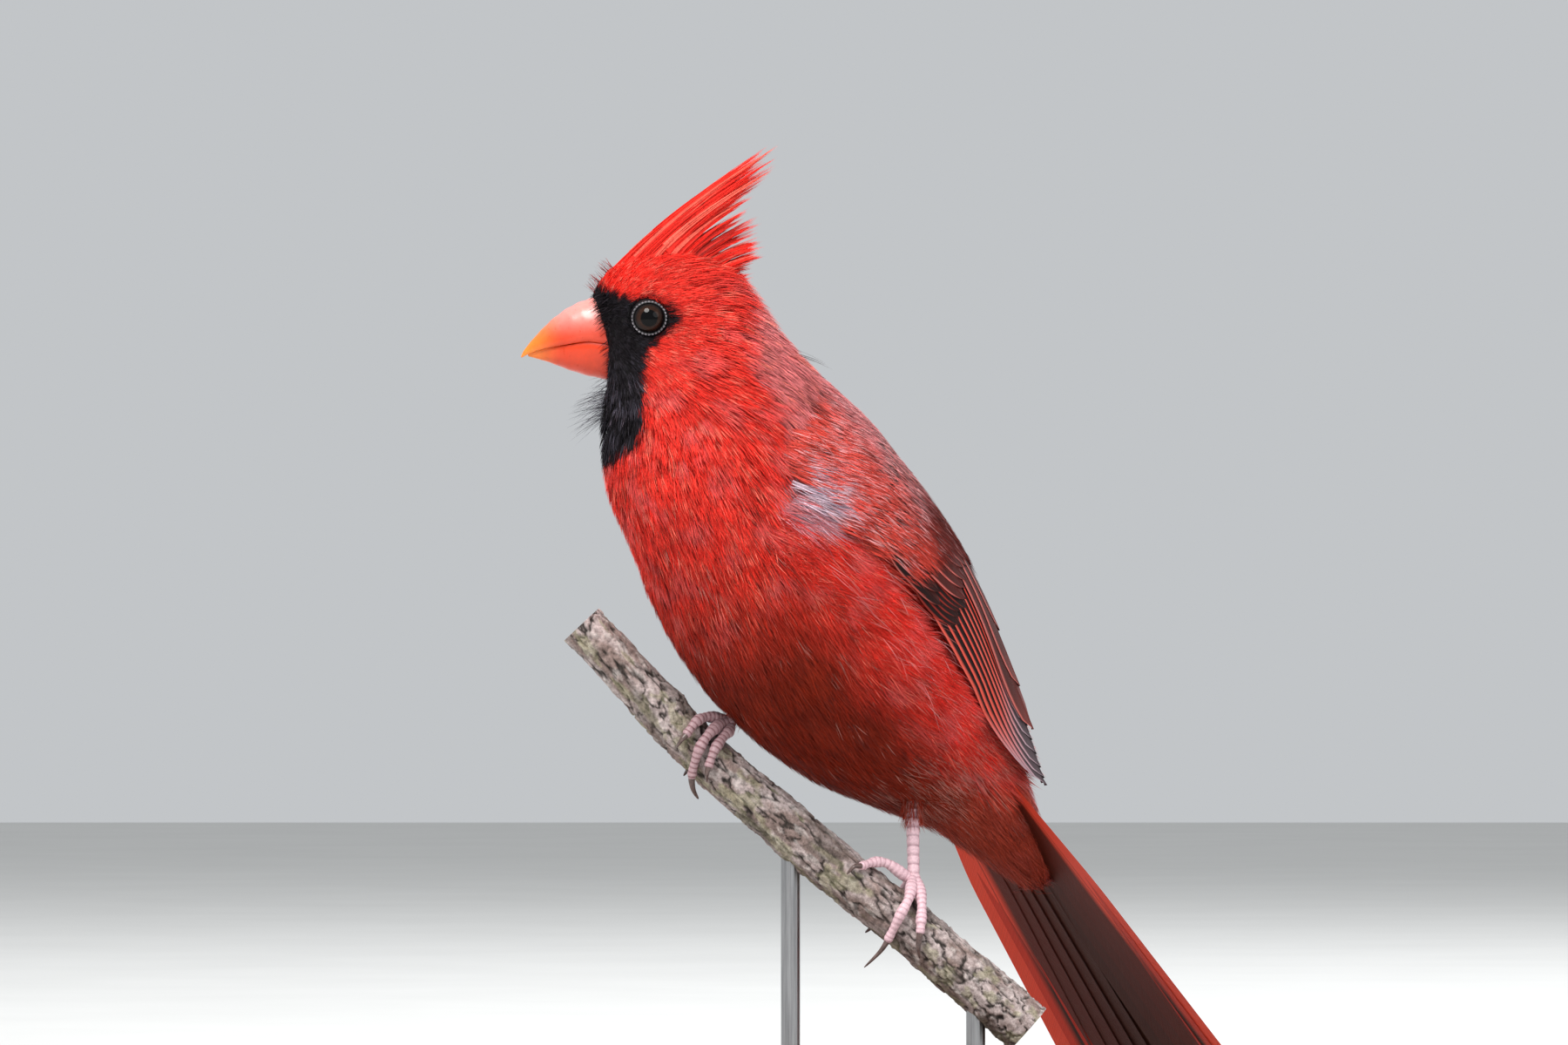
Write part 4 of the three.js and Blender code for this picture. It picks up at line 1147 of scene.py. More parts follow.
TAIL_ROOT = place(-80.5, 0.0, 90.0)
TAIL_PITCH = 51.6
TAIL_PER_SIDE = 6
TAIL_FAN = 9.6
TAIL_LENGTH = 103.0
TAIL_WIDTH = 12.4
TAIL_AWAY = unit(heading(-math.cos(math.radians(TAIL_PITCH)), 0, -math.sin(math.radians(TAIL_PITCH))))
TAIL_UP = unit(np.cross(TAIL_AWAY, LEFT))
TAIL_UP = TAIL_UP * np.sign(TAIL_UP[2])


def tail_feather(vanes, number, side):
    """A tail feather, numbered from the middle one out."""
    share = np.linspace(0, 1, VANE_STEPS + 6)
    outer = number / (TAIL_PER_SIDE - 1)
    half = TAIL_WIDTH / 2 * vane_outline(share, 0.08, 0.42)
    across = -side * VANE_ACROSS[None, :] * half[:, None]  # the outer edge comes first
    fan = math.radians(side * TAIL_FAN * (number + 0.3) / (TAIL_PER_SIDE - 0.7))
    camber = math.radians(1.2 * number)
    x = share[:, None] * (TAIL_LENGTH - 5 * outer ** 2) + 0 * across
    y = across * math.cos(camber)
    rise = 0.4 - 0.42 * number - np.abs(across) * math.sin(camber) * np.sign(across * side)
    rise = rise + 0.25 * (1 - (across / (TAIL_WIDTH / 2)) ** 2)
    along = x * math.cos(fan) - y * math.sin(fan)
    aside = x * math.sin(fan) + y * math.cos(fan) + side * 2.5 * (number + 0.5)
    points = TAIL_ROOT + along[..., None] * TAIL_AWAY + aside[..., None] * LEFT + rise[..., None] * TAIL_UP
    edge = tint(TAIL_RED * 0.8, TAIL_EDGE, outer ** 4)
    edge_to = 0.3 if number == TAIL_PER_SIDE - 1 else -0.6
    # web: near-black brown, partly the inner web's own colour and partly painted shade under the tail
    web = tint(TAIL_BROWN_AND_SHADE, TAIL_RED, 0.03 + 0.12 * outer)
    paint = feather_paint(share, edge, TAIL_BROWN_AND_SHADE, web, TAIL_BROWN_AND_SHADE, edge_to, 0.92)
    vanes.add(*(grid[:, ::side] for grid in (points, paint, vane_places(x, across))))


def tail():
    vanes = Vanes()
    for side in SIDE_NAMES:
        for number in range(TAIL_PER_SIDE):
            tail_feather(vanes, number, side)
    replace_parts(vanes.make("tail_feathers"), "tail")


# Crest: long fine pointed feathers swept up and back from the crown

CREST_FEATHERS = 640
CREST_BUNCHES = 44  # groups of feathers whose points meet
CREST_RUNGS = 9
CREST_BARBS = 7
CREST_BARB_WIDTH = 0.3
CROWN_FRONT = (19.5, 200.0)  # where the crest's first and last feathers spring, as u, w
CROWN_REAR = (-12.0, 196.0)
# Ends of the crest's feathers from the tip down its ragged rear edge
CREST_ENDS = np.array([
    [-18.6, 232.8], [-18.8, 230.0], [-18.0, 226.8], [-14.6, 222.0], [-12.8, 218.2], [-16.0, 214.6],
    [-16.2, 211.0], [-16.4, 208.0], [-13.4, 204.6], [-13.6, 201.8],
])
CREST_FRONT_PULL = (8.4, 214.2)  # pulls the first feathers' paths out to the crest's front line
CREST_REAR_PULL = (-6.0, 200.6)


def crest_paths(rank):
    """The feathers' middle lines, and the side each is on, from rank 0 at the crest's front to 1."""
    count = len(rank)
    bunch = np.floor(rank * CREST_BUNCHES).astype(int)
    middle = (bunch + 0.5) / CREST_BUNCHES
    ends = smooth_line(CREST_ENDS, middle ** 0.85 * (len(CREST_ENDS) - 1))
    ends = ends + rng.normal(-0.2, 0.6, (CREST_BUNCHES, 2))[bunch] + rng.normal(0, 0.34, (count, 2))
    reach = rng.uniform(0.55, 1.0, count)
    reach = np.where(chance(0.35, count), rng.uniform(0.94, 1.03, count), reach)
    starts = tint(CROWN_FRONT, CROWN_REAR, rank)
    pulls = tint(CREST_FRONT_PULL, CREST_REAR_PULL, rank)
    aside = rng.uniform(-1, 1, count)
    room = np.interp(rank, [0, 0.15, 1], [4.5, 8.0, 9.0])
    share = np.linspace(0, 1, CREST_RUNGS)[None, :] * reach[:, None]
    begin = rng.uniform(0, 0.45, count)[:, None] * (1 - share / np.maximum(reach[:, None], 0.1))
    share = np.clip(share + begin, 0, 1.03)[..., None]
    path = (1 - share) ** 2 * starts[:, None] + 2 * share * (1 - share) * pulls[:, None]
    path = path + share ** 2 * ends[:, None]
    left = np.clip(1 - share[..., 0], 0, 1)
    v = (aside * room)[:, None] * left ** 0.8
    drop = (v / 9.0) ** 2 * 5.0 * (1 - share[..., 0])
    return place(path[..., 0], v, path[..., 1] - drop, 0.0), np.sign(aside)


def crest():
    """Feathers whose paths run from the crown to the crest's rear edge and gather in the mid-plane."""
    count = CREST_FEATHERS
    rank = np.sort(rng.uniform(0, 1, count))
    centre, side = crest_paths(rank)
    ways = unit(np.gradient(centre, axis=1))
    out = heading(0, 1, 0, 0) * side[:, None, None]
    sides = unit(np.cross(out + 0 * ways, ways))
    tone = rng.normal(1.0, 0.14, count) * (1 + 0.15 * clouds(centre[:, 4], 4.0, 2.2))
    # Some crest feathers take a painted highlight, and others are darker at random
    light, dark = 0.5 * chance(0.16, count), 0.5 * chance(0.12, count)
    paint = layered(RED * tone[:, None], (HIGHLIGHT_STREAK * 0.95, light), (DARK_SPECK * 1.6, dark))
    coat = Coat("crest_feathers")
    uv = unwrap(np.full(count, 2.0), 60 + 25 * rank, side)
    line = np.linspace(0, 1, CREST_RUNGS)[None, :]
    for number in range(CREST_BARBS):
        offset = 0.42 * (number - (CREST_BARBS - 1) / 2) / 2 * (1 - line ** 1.5) * np.ones((count, 1))
        bow = rng.normal(0, 0.14, count)[:, None] * line
        lean = rng.normal(0, 0.18, count)[:, None] * line
        barb = centre + sides * (offset + bow)[..., None] + out * lean[..., None]
        barb = barb + ways * (rng.normal(0, 0.6, count)[:, None] * line)[..., None]
        widths = CREST_BARB_WIDTH * (1 - line ** 2.2) * rng.uniform(0.7, 1.2, count)[:, None]
        roll = rng.normal(0, 0.4, count)[:, None, None]
        across = unit(sides * np.cos(roll) + out * np.sin(roll))
        shade = (0.95 + 0.16 * line)[..., None] * rng.normal(1, 0.1, count)[:, None, None]
        coat.add(barb, across, widths, np.clip(paint[:, None] * shade, 0, 1), uv)
    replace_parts(coat.pieces()[0], "crest")


# Bill: for each mandible, u, w of its outer line, u, w of the line where the two meet, and half width

MANDIBLES = {
    "bill_upper": [
        [18.6, 198.6, 13.4, 187.4, 6.5], [21.6, 198.0, 16.9, 187.7, 6.4], [25.7, 196.3, 21.8, 188.3, 5.7],
        [29.9, 193.3, 26.8, 187.6, 4.3], [33.6, 189.6, 31.4, 186.7, 2.5], [36.2, 186.4, 34.9, 185.6, 0.9],
        [37.0, 184.7, 36.8, 184.6, 0.12],
    ],
    "bill_lower": [
        [11.4, 179.6, 13.2, 187.0, 6.0], [14.0, 179.2, 16.7, 187.4, 6.1], [20.6, 180.2, 21.6, 188.0, 5.3],
        [26.0, 181.8, 26.6, 187.3, 3.9], [30.8, 183.6, 31.2, 187.0, 2.0], [35.3, 184.9, 35.4, 185.5, 0.15],
    ],
}
BILL_STEPS = 44
BILL_SIDES = 40
GROWTH_LINES = 0.0125  # height of the faint rings across the bill, as a share of the way from its middle


def mandible(sections):
    """Rings of one mandible: half an oval over a nearly flat mouth side."""
    at = np.linspace(0, len(sections) - 1, BILL_STEPS)
    line = smooth_line(sections, at)
    angles = np.linspace(0, 2 * math.pi, BILL_SIDES, endpoint=False)
    sine, cosine = np.sin(angles), np.cos(angles)
    lift = np.where(sine > 0, np.abs(sine) ** 0.86, 0.05 * sine)
    outer, mouth = line[:, None, 0:2], line[:, None, 2:4]
    section = mouth + (outer - mouth) * lift[None, :, None]
    v = line[:, 4, None] * np.sign(cosine) * np.abs(cosine) ** 0.92
    verts = place(section[..., 0], v, section[..., 1], 0.0)
    middle = verts.mean(axis=1, keepdims=True)
    growth = GROWTH_LINES * np.sin(at * 9.0)[:, None] * np.clip(sine, 0, 1)[None, :]
    return middle + (verts - middle) * (1 + growth[..., None])


def bill_paint(points):
    """Orange red, with a painted pale pink sheen along the ridge, and yellower at the tip."""
    u, v, w = own_frame(points)
    tone = layered(
        BILL_RED, (BILL_RIDGE_SHEEN, ramp(w, 188, 196.5)), (BILL_TIP, ramp(u, 27, 36.5)),
        (BILL_ROOT, ramp(20 - u, -1, 5) * 0.7),
    )
    return tone * (1 + 0.06 * clouds(points, 2.4, 6.0, 3))[..., None]


def bill():
    material = painted_material(
        "bill_horn", 900.0, 5.0, (0.93, 0.91, 0.9), grey(1.05), (0.00005, 0.35), (0.2, 0.42),
        Subsurface_Weight=0.1, Subsurface_Scale=0.002, Specular_IOR_Level=0.4, Coat_Weight=0.15,
        Coat_Roughness=0.15,
    )
    for name, sections in MANDIBLES.items():
        verts = mandible(sections)
        faces = loft_faces(BILL_STEPS, BILL_SIDES)
        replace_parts(new_object(name + "_horn", verts, faces, material, bill_paint(verts)), name)


# Eyes

PUPIL_ANGLE = 27.0
IRIS_ANGLE = 45.0
PUPIL_BLACK, IRIS_BROWN = colour(3, 3, 4), colour(44, 26, 19)
IRIS_RIM, EYE_DARK = colour(26, 16, 13), colour(14, 10, 12)
LID_RING = 3.72
LID_BEADS = 30
LID_STEPS, LID_SIDES = LID_BEADS * 8, 12
LID_DARK, LID_PALE = colour(16, 14, 17), colour(168, 160, 168)
EYE_TURNS = np.linspace(0, 360, 64, endpoint=False)


def eye_material():
    """A wet dark eye under its painted pupil, iris and near-black white."""
    n = Nodes("eye_wet")
    tone = n.ramp(n.noise(1400.0, 3.0), (0.3, grey(0.75)), (0.7, grey(1.25)))
    return n.finish(
        n.times(n.attribute(), tone), Roughness=0.05, Specular_IOR_Level=0.14, Coat_Weight=0.03,
        Coat_Roughness=0.02,
    )


def eye_point(side, angle, round_it, radius):
    """A point at an angle from the eye's axis and a way round it, both in degrees."""
    a, b = np.radians(angle), np.radians(round_it)
    u = EYE_U + radius * np.sin(a) * np.cos(b)
    w = EYE_W + radius * np.sin(a) * np.sin(b)
    return place(u, side * (EYE_V + radius * np.cos(a)), w, 0.0)


def eyeball(name, side, material):
    rings = np.concatenate([[0.5], np.linspace(3, 110, 60), [150, 179]])
    bulge = 1 + 0.035 * hump(rings, 0, 34.0)
    verts = eye_point(side, rings[:, None], EYE_TURNS[None, :], EYE_RADIUS * bulge[:, None])
    tone = layered(
        PUPIL_BLACK, (IRIS_BROWN, ramp(rings, PUPIL_ANGLE - 1.5, PUPIL_ANGLE + 1.5)),
        (IRIS_RIM, ramp(rings, 36, IRIS_ANGLE)), (EYE_DARK, ramp(rings, IRIS_ANGLE - 1, IRIS_ANGLE + 3)),
    )
    turn = np.radians(EYE_TURNS)
    spokes = 1 + 0.16 * clouds(np.stack([np.cos(turn) * 9, np.sin(turn) * 9, 0 * turn], -1), 1.0)
    paint = tone[:, None, :] * spokes[None, :, None]
    faces = loft_faces(len(rings), len(EYE_TURNS))
    ball = new_object(name + "_ball", verts, faces, material, paint, flip=side < 0)
    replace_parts(ball, name)


def lid(name, side, material):
    """The ring of small pale beads round the eye, brighter below."""
    turns = np.linspace(0, 360, LID_STEPS, endpoint=False)
    lid_angle = np.degrees(math.asin(LID_RING / (EYE_RADIUS + 0.1)))
    beads = 0.86 + 0.22 * np.abs(np.sin(np.radians(turns) * LID_BEADS / 2))
    section = np.linspace(0, 2 * math.pi, LID_SIDES, endpoint=False)
    squeeze = 1 - 0.05 * np.abs(np.sin(np.radians(turns))) ** 2
    angle = lid_angle * squeeze[:, None] + 4.6 * np.cos(section)[None, :] * beads[:, None]
    radius = EYE_RADIUS + 0.16 + 0.26 * np.sin(section)[None, :] * beads[:, None]
    verts = eye_point(side, angle, turns[:, None] + 0 * angle, radius)
    crown = np.clip(np.sin(section), 0, 1)[None, :] * (beads[:, None] > 0.97)
    lower = 0.35 + 0.65 * ramp(-np.sin(np.radians(turns + 25)), -0.6, 0.5)
    paint = tint(LID_DARK, LID_PALE, ramp(crown, 0.45, 0.95) * lower[:, None])
    faces = loft_faces(LID_STEPS, LID_SIDES, caps=False, joined=True)
    new_object(name + "_lid", verts, faces, material, paint, flip=side > 0)


def socket(name, side, material):
    """Dark skin between the lid's ring and the feathers."""
    angle = np.linspace(56, 84, 8)
    radius = EYE_RADIUS + np.linspace(0.05, 0.35, 8)
    verts = eye_point(side, angle[:, None], EYE_TURNS[None, :], radius[:, None])
    faces = loft_faces(len(angle), len(EYE_TURNS), caps=False)
    new_object(name + "_socket", verts, faces, material, MASK, flip=side < 0)


def eyes():
    wet = eye_material()
    skin = painted_material("lid_skin", 2600.0, 3.0, grey(0.7), grey(1.15), (0.00006, 0.6), (0.35, 0.6))
    for side in SIDE_NAMES:
        name = "eye_" + SIDE_NAMES[side]
        eyeball(name, side, wet)
        lid(name, side, skin)
        socket(name, side, skin)


# Branch

BRANCH_LINE = np.array([  # x, z and radius
    [-62.5, 123.6, 5.1], [-48.8, 109.0, 5.25], [-39.8, 99.0, 5.35], [-28.0, 87.8, 5.5], [-15.2, 77.2, 5.6],
    [-2.4, 66.0, 5.7], [13.0, 53.8, 5.85], [23.2, 45.0, 5.9], [33.0, 36.8, 5.95], [40.0, 30.6, 6.0],
])
BRANCH_STEPS = 360
BRANCH_SIDES = 120
BARK_STRETCHED = 64.0  # the branch's length in the bark's pattern, which is drawn out along it
# Knots: share of the length, degrees round the branch, height in mm and reach along it
KNOTS = ((0.17, 20, 0.9, 0.03), (0.47, 160, 0.7, 0.04), (0.9, -60, 1.0, 0.035))
BARK_GREY, BARK_PALE, BARK_CRACK = colour(150, 130, 124), colour(204, 188, 186), colour(52, 46, 42)
BARK_FLAKE, LICHEN, BARK_DARK = colour(214, 204, 200), colour(166, 162, 132), colour(96, 86, 80)
CUT_PALE, CUT_RING, CUT_BARK = colour(196, 168, 132), colour(160, 126, 92), colour(70, 58, 50)


def branch_line(share):
    found = smooth_line(BRANCH_LINE, np.asarray(share) * (len(BRANCH_LINE) - 1))
    middle = np.stack([found[..., 0], 0 * found[..., 0], found[..., 1]], -1)
    return middle, found[..., 2]


def round_branch(share, wrap, distance):
    """A point near the branch: share of its length, degrees round it from the top, mm from its middle."""
    share = np.asarray(share)
    ahead, _ = branch_line(np.minimum(share + 0.002, 1.0))
    behind, _ = branch_line(np.maximum(share - 0.002, 0.0))
    tangent = unit(ahead - behind)
    top = np.stack([-tangent[..., 2], 0 * tangent[..., 0], tangent[..., 0]], -1)
    wrap = np.radians(np.asarray(wrap, float))
    front = np.array([0.0, -1.0, 0.0])
    out = np.cos(wrap)[..., None] * top + np.sin(wrap)[..., None] * front
    return branch_line(share)[0] + np.asarray(distance, float)[..., None] * out


def degrees_apart(wrap, turn):
    return (wrap - turn + 180) % 360 - 180


def bark_height(points, share, wrap):
    """Bark plates, cracks and flakes, in mm over the branch's radius."""
    plates = ramp(np.abs(clouds(points, 3.0, 11.0, 3)), 0.02, 0.16)
    flakes = ramp(clouds(points, 1.5, 4.0, 3), 0.18, 0.5)
    height = 0.42 * plates + 0.3 * flakes + 0.07 * clouds(points, 0.7, 2.0, 2) - 0.3
    for at, turn, tall, reach in KNOTS:
        height = height + tall * hump(share, at, reach) * hump(degrees_apart(wrap, turn), 0, 40)
    return height, plates, flakes


def bark_paint(points, wrap, plates, flakes):
    pale = tint(BARK_GREY, BARK_PALE, ramp(clouds(points, 4.0, 8.0, 3), -0.3, 0.4))
    upper = 0.25 * ramp(np.abs(degrees_apart(wrap, 130)), 70, 20)
    lichen = ramp(clouds(points, 3.2, 21.0, 3) + upper, 0.3, 0.5)
    dark = ramp(clouds(points, 6.0, 31.0, 3), 0.25, 0.5)
    return 0.84 * layered(
        BARK_CRACK, (pale, plates), (BARK_FLAKE, 0.55 * flakes), (LICHEN, 0.6 * lichen),
        (BARK_DARK, 0.5 * dark),
    )


def bark_material():
    n = Nodes("bark")
    coarse = n.noise(900.0, 6.0, 0.65)
    tone = n.ramp(coarse, (0.34, (0.46, 0.44, 0.43)), (0.66, (1.3, 1.29, 1.28)))
    base = n.times(n.attribute(), tone)
    speckle = n.ramp(n.noise(3800.0, 4.0), (0.4, grey(0.8)), (0.62, grey(1.1)))
    n.relief(coarse, (0.0004, 0.8), (0.7, 0.95))
    return n.finish(n.mix(0.7, base, n.times(base, speckle)), Specular_IOR_Level=0.25)


def perch():
    share, wrap = np.meshgrid(
        np.linspace(0, 1, BRANCH_STEPS), np.linspace(0, 360, BRANCH_SIDES, endpoint=False), indexing="ij",
    )
    radius = branch_line(share)[1]
    turn = np.radians(wrap)
    grain = np.stack([share * BARK_STRETCHED, radius * np.cos(turn), radius * np.sin(turn)], -1)
    height, plates, flakes = bark_height(grain, share, wrap)
    verts = round_branch(share, wrap, radius + height)
    faces = loft_faces(BRANCH_STEPS, BRANCH_SIDES, caps=False)
    paint = bark_paint(grain, wrap, plates, flakes)
    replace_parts(new_object("perch_bark", verts, faces, bark_material(), paint), "perch")
    cut_ends(verts)


def cut_ends(verts):
    """The pale sawn ends of the branch, with growth rings."""
    material = painted_material(
        "cut_wood", 2200.0, 4.0, (0.8, 0.78, 0.76), grey(1.08), (0.0001, 0.6), (0.65, 0.85),
    )
    shares = np.linspace(1, 0, 26)
    paint = tint(CUT_PALE, CUT_RING, 0.5 + 0.5 * np.sin(shares * 46))
    paint = tint(paint, CUT_BARK, ramp(shares, 0.93, 0.97))
    paint = np.repeat(paint[:, None], BRANCH_SIDES, axis=1)
    rings = loft_faces(len(shares), BRANCH_SIDES, caps=False)
    cap = tuple(range((len(shares) - 1) * BRANCH_SIDES, len(shares) * BRANCH_SIDES))
    for name, ring, flip in (("perch_end_upper", verts[0], False), ("perch_end_lower", verts[-1], True)):
        middle = ring.mean(0)
        points = middle + (ring - middle)[None] * np.maximum(shares, 0.01)[:, None, None]
        faces = flipped(rings) if flip else list(rings)
        new_object(name, points, faces + [cap], material, paint)


# Feet and legs: where a foot is (x), its joint, and its toes. Each toe is a path and a claw of points as
# millimetres down the branch from the foot, degrees round it from its top to the front, and millimetres
# from the bark

FEET = {
    "left": (7.8, (0, -2, 3.9), [
        ([(-1.2, 4, 3.0), (-6.6, 14, 3.0), (-9.4, 26, 1.9), (-11.0, 50, 1.5)],
         [(-12.4, 66, 2.2), (-12.6, 84, 1.6)]),
        ([(0.5, 12, 2.8), (2.0, 48, 1.9), (2.8, 84, 1.6), (4.0, 128, 1.7)],
         [(4.4, 146, 4.2), (3.8, 160, 8.6)]),
        ([(1.9, 8, 3.2), (5.0, 38, 1.9), (7.4, 68, 1.5), (8.4, 80, 1.5)],
         [(10.4, 104, 2.1), (12.4, 121, 1.5)]),
        ([(0.2, -20, 3.0), (0.4, -56, 2.0), (0.2, -92, 1.7), (0.0, -112, 1.7)],
         [(-0.4, -132, 2.6), (-0.8, -152, 2.4)]),
    ]),
    "right": (-35.1, (0, 0, 4.3), [
        ([(-2.2, 4, 3.2), (-4.8, 26, 1.9), (-5.6, 52, 1.6), (-5.2, 82, 1.5)],
         [(-5.0, 100, 2.2), (-4.6, 118, 1.5)]),
        ([(-1.2, 14, 2.6), (-1.5, 56, 1.7), (-0.6, 90, 1.6), (2.0, 134, 1.7)],
         [(4.4, 152, 2.8), (7.0, 168, 3.0)]),
        ([(1.3, 10, 3.0), (1.4, 30, 1.9), (1.9, 66, 1.5), (3.4, 96, 1.5)],
         [(4.6, 112, 2.1), (5.8, 126, 1.5)]),
        ([(0.4, -20, 3.0), (0.6, -54, 2.0), (0.6, -90, 1.7), (0.6, -110, 1.7)],
         [(0.8, -130, 2.6), (1.0, -150, 2.4)]),
    ]),
}
TOE_SIDES, CLAW_SIDES = 20, 14
TOE_STEPS, CLAW_STEPS, LEG_STEPS = 90, 40, 120
TOE_SCUTE, LEG_SCUTE = 1.2, 2.3  # length of one scute
# The right leg and foot take a darker copy of the left's pink: painted shade
LEG_COLOURS_LIT_AND_SHADED = {"left": colour(216, 172, 182), "right": colour(138, 88, 94)}
# Pale of the painted highlights on the scutes' ridges
SCUTE_HIGHLIGHT = colour(246, 226, 230)
CLAW_DARK = colour(92, 74, 70)
BRANCH_SHARES = np.linspace(0, 1, 2000)
BRANCH_X = branch_line(BRANCH_SHARES)[0][:, 0]


def share_at(x):
    return float(np.interp(x, BRANCH_X, BRANCH_SHARES))


def on_branch(foot_x, spot):
    """A point of a foot: mm down the branch from the foot, degrees round it, and mm from the bark."""
    along, wrap, out = spot
    start = share_at(foot_x)
    near, _ = branch_line(np.array([start - 0.005, start + 0.005]))
    share = np.array(share_at(foot_x + along * unit(near[1] - near[0])[0]))
    return round_branch(share, wrap, branch_line(share)[1] + out)


def scaled_tube(name, line, radius, scute, material, groove, ridge, pale_from):
    """A tube with raised scutes across its length, with painted shade in the grooves between them and a
    painted highlight towards each scute's ridge. pale_from is how far up a scute its ridge's colour is
    reached."""
    length = np.concatenate([[0], np.cumsum(np.linalg.norm(np.diff(line, axis=0), axis=1))])
    wave = (length / scute) % 1.0
    step = np.where(wave < 0.82, wave / 0.82, (1 - wave) / 0.18)
    rings = tube_rings(line, radius * (0.95 + 0.1 * step), TOE_SIDES)
    paint = np.repeat(tint(groove, ridge, ramp(step, 0.0, pale_from))[:, None], TOE_SIDES, axis=1)
    return new_object(name, rings, loft_faces(len(line), TOE_SIDES), material, paint)


def claw_material():
    n = Nodes("claw_horn")
    fine = n.noise(1300.0, 4.0)
    n.relief(fine, (0.00006, 0.4), (0.25, 0.4))
    return n.finish(n.ramp(fine, (0.3, CLAW_DARK * 0.6), (0.7, CLAW_DARK * 1.5)), Specular_IOR_Level=0.5)


def toe(name, points, path_knots, pink, skin, horn):
    """A toe with scutes, and its claw, which is curved and runs to a point."""
    claw_from = path_knots + 0.25
    line = smooth_line(points, np.linspace(0, claw_from, TOE_STEPS))
    share = np.linspace(0, 1, TOE_STEPS)
    radius = blend(1.4, 1.02, share) * (1 + 0.12 * np.cos(share * 6 * math.pi))
    radius = radius * np.sqrt(np.clip((1.06 - share) / 0.12, 0, 1))
    scaled_tube(name, line, radius, TOE_SCUTE, skin, pink * 0.74, tint(pink, SCUTE_HIGHLIGHT, 0.3), 0.5)
    line = smooth_line(points, np.linspace(claw_from - 0.35, len(points) - 1, CLAW_STEPS))
    radius = 0.86 * (1 - np.linspace(0, 1, CLAW_STEPS)) ** 0.62 + 0.06
    rings = tube_rings(line, radius, CLAW_SIDES, squash=0.8)
    new_object(name + "_claw", rings, loft_faces(CLAW_STEPS, CLAW_SIDES), horn)


def foot_and_leg(side, skin, horn):
    x, joint, toes = FEET[side]
    pink = LEG_COLOURS_LIT_AND_SHADED[side]
    for number, (path, claw) in enumerate(toes):
        points = np.array([on_branch(x, spot) for spot in [joint] + path + claw])
        toe(f"toe_{side}_{number}", points, len(path), pink, skin, horn)
    joint = on_branch(x, joint)
    top = place(*LEG_TOPS[side])
    below = joint + (joint - top) * 0.035
    line = smooth_line(np.array([below, joint, (joint + top) / 2, top]), np.linspace(0, 3, LEG_STEPS))
    share = np.linspace(0, 1, LEG_STEPS)
    radius = 1.3 + 0.45 * hump(share, 0.12, 0.12) + 0.5 * share ** 2
    ridge = tint(pink, SCUTE_HIGHLIGHT, 0.35)
    leg = scaled_tube(f"leg_{side}_scutes", line, radius, LEG_SCUTE, skin, pink * 0.62, ridge, 0.4)
    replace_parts(leg, f"leg_{side}", f"foot_{side}")
    thigh_fluff(side, top, unit(joint - top))


def feet():
    skin = painted_material(
        "leg_skin", 2400.0, 4.0, (0.8, 0.77, 0.78), grey(1.1), (0.00009, 0.6), (0.38, 0.6),
        Specular_IOR_Level=0.45,
    )
    horn = claw_material()
    for side in FEET:
        foot_and_leg(side, skin, horn)


# Bristles and loose filaments

FILAMENT_RUNGS = 7
FLUFF_COUNT = 1600
BILL_BRISTLES, CHIN_HAIRS, BROW_HAIRS, NAPE_HAIRS = 1500, 320, 90, 7
BILL_EDGE = ([179.6, 187.2, 192.0, 198.6, 199.6], [11.6, 13.2, 14.6, 18.4, 19.6])  # u of the bill's base by w


def filaments(name, roots, ways, lengths, paint, width, droop):
    """Single fine hairs: roots and ways in the model's frame, in mm."""
    count = len(roots)
    line = np.linspace(0, 1, FILAMENT_RUNGS)[None, :]
    centre = roots[:, None] + ways[:, None] * (line * lengths[:, None])[..., None]
    centre = centre + np.array([0, 0, -1.0]) * (droop * lengths[:, None] * line ** 2)[..., None]
    across = unit(np.cross(ways, rng.normal(0, 1, (count, 3))))[:, None] + 0 * centre
    widths = width * (1 - 0.8 * line ** 2) * np.ones((count, 1))
    paint = np.repeat(paint[:, None], FILAMENT_RUNGS, axis=1)
    coat = Coat(name)
    coat.add(centre, across, widths, paint, unwrap(*body_place(roots)))
    coat.pieces()


def thigh_fluff(side, top, down):
    """Soft belly feathers round the upper end of the leg, which runs down from its top."""
    count = FLUFF_COUNT
    turn = rng.uniform(0, 2 * math.pi, count)
    across = unit(np.cross(down, [0, 1, 0]))
    out = np.cos(turn)[:, None] * across + np.sin(turn)[:, None] * np.cross(across, down)
    low = rng.uniform(3.0, 12.8, count)[:, None]
    roots = top + down * low + out * rng.uniform(1.3, 4.6, count)[:, None] * (1 - 0.055 * low)
    ways = unit(down + 0.12 * out + rng.normal(0, 0.14, (count, 3)))
    paint = tint(BELLY_RED_AND_SHADE * 1.6, FLUFF, 0.75 * rng.uniform(0, 1, count) ** 2)
    filaments("fluff_" + side, roots, ways, rng.uniform(2.5, 6.0, count), paint, 0.17, 0.05)


def bill_bristles():
    count = BILL_BRISTLES
    w = rng.uniform(179.5, 199.5, count)
    u = np.interp(w, *BILL_EDGE) - rng.uniform(0, 2.2, count)
    side = rng.choice([1, -1], count)
    roots, normals = nearest_on_skin(place(u, side * rng.uniform(3.0, 8.0, count), w, 0.0))
    ways = heading(rng.uniform(0.3, 0.9, count), side * 0.15, rng.uniform(-0.7, -0.1, count), 0.0)
    paint = MASK * rng.uniform(0.5, 3.2, count)[:, None]
    lengths = rng.uniform(1.6, 3.4, count)
    filaments("bristles_bill", roots, unit(ways + normals * 0.35), lengths, paint, 0.14, 0.15)


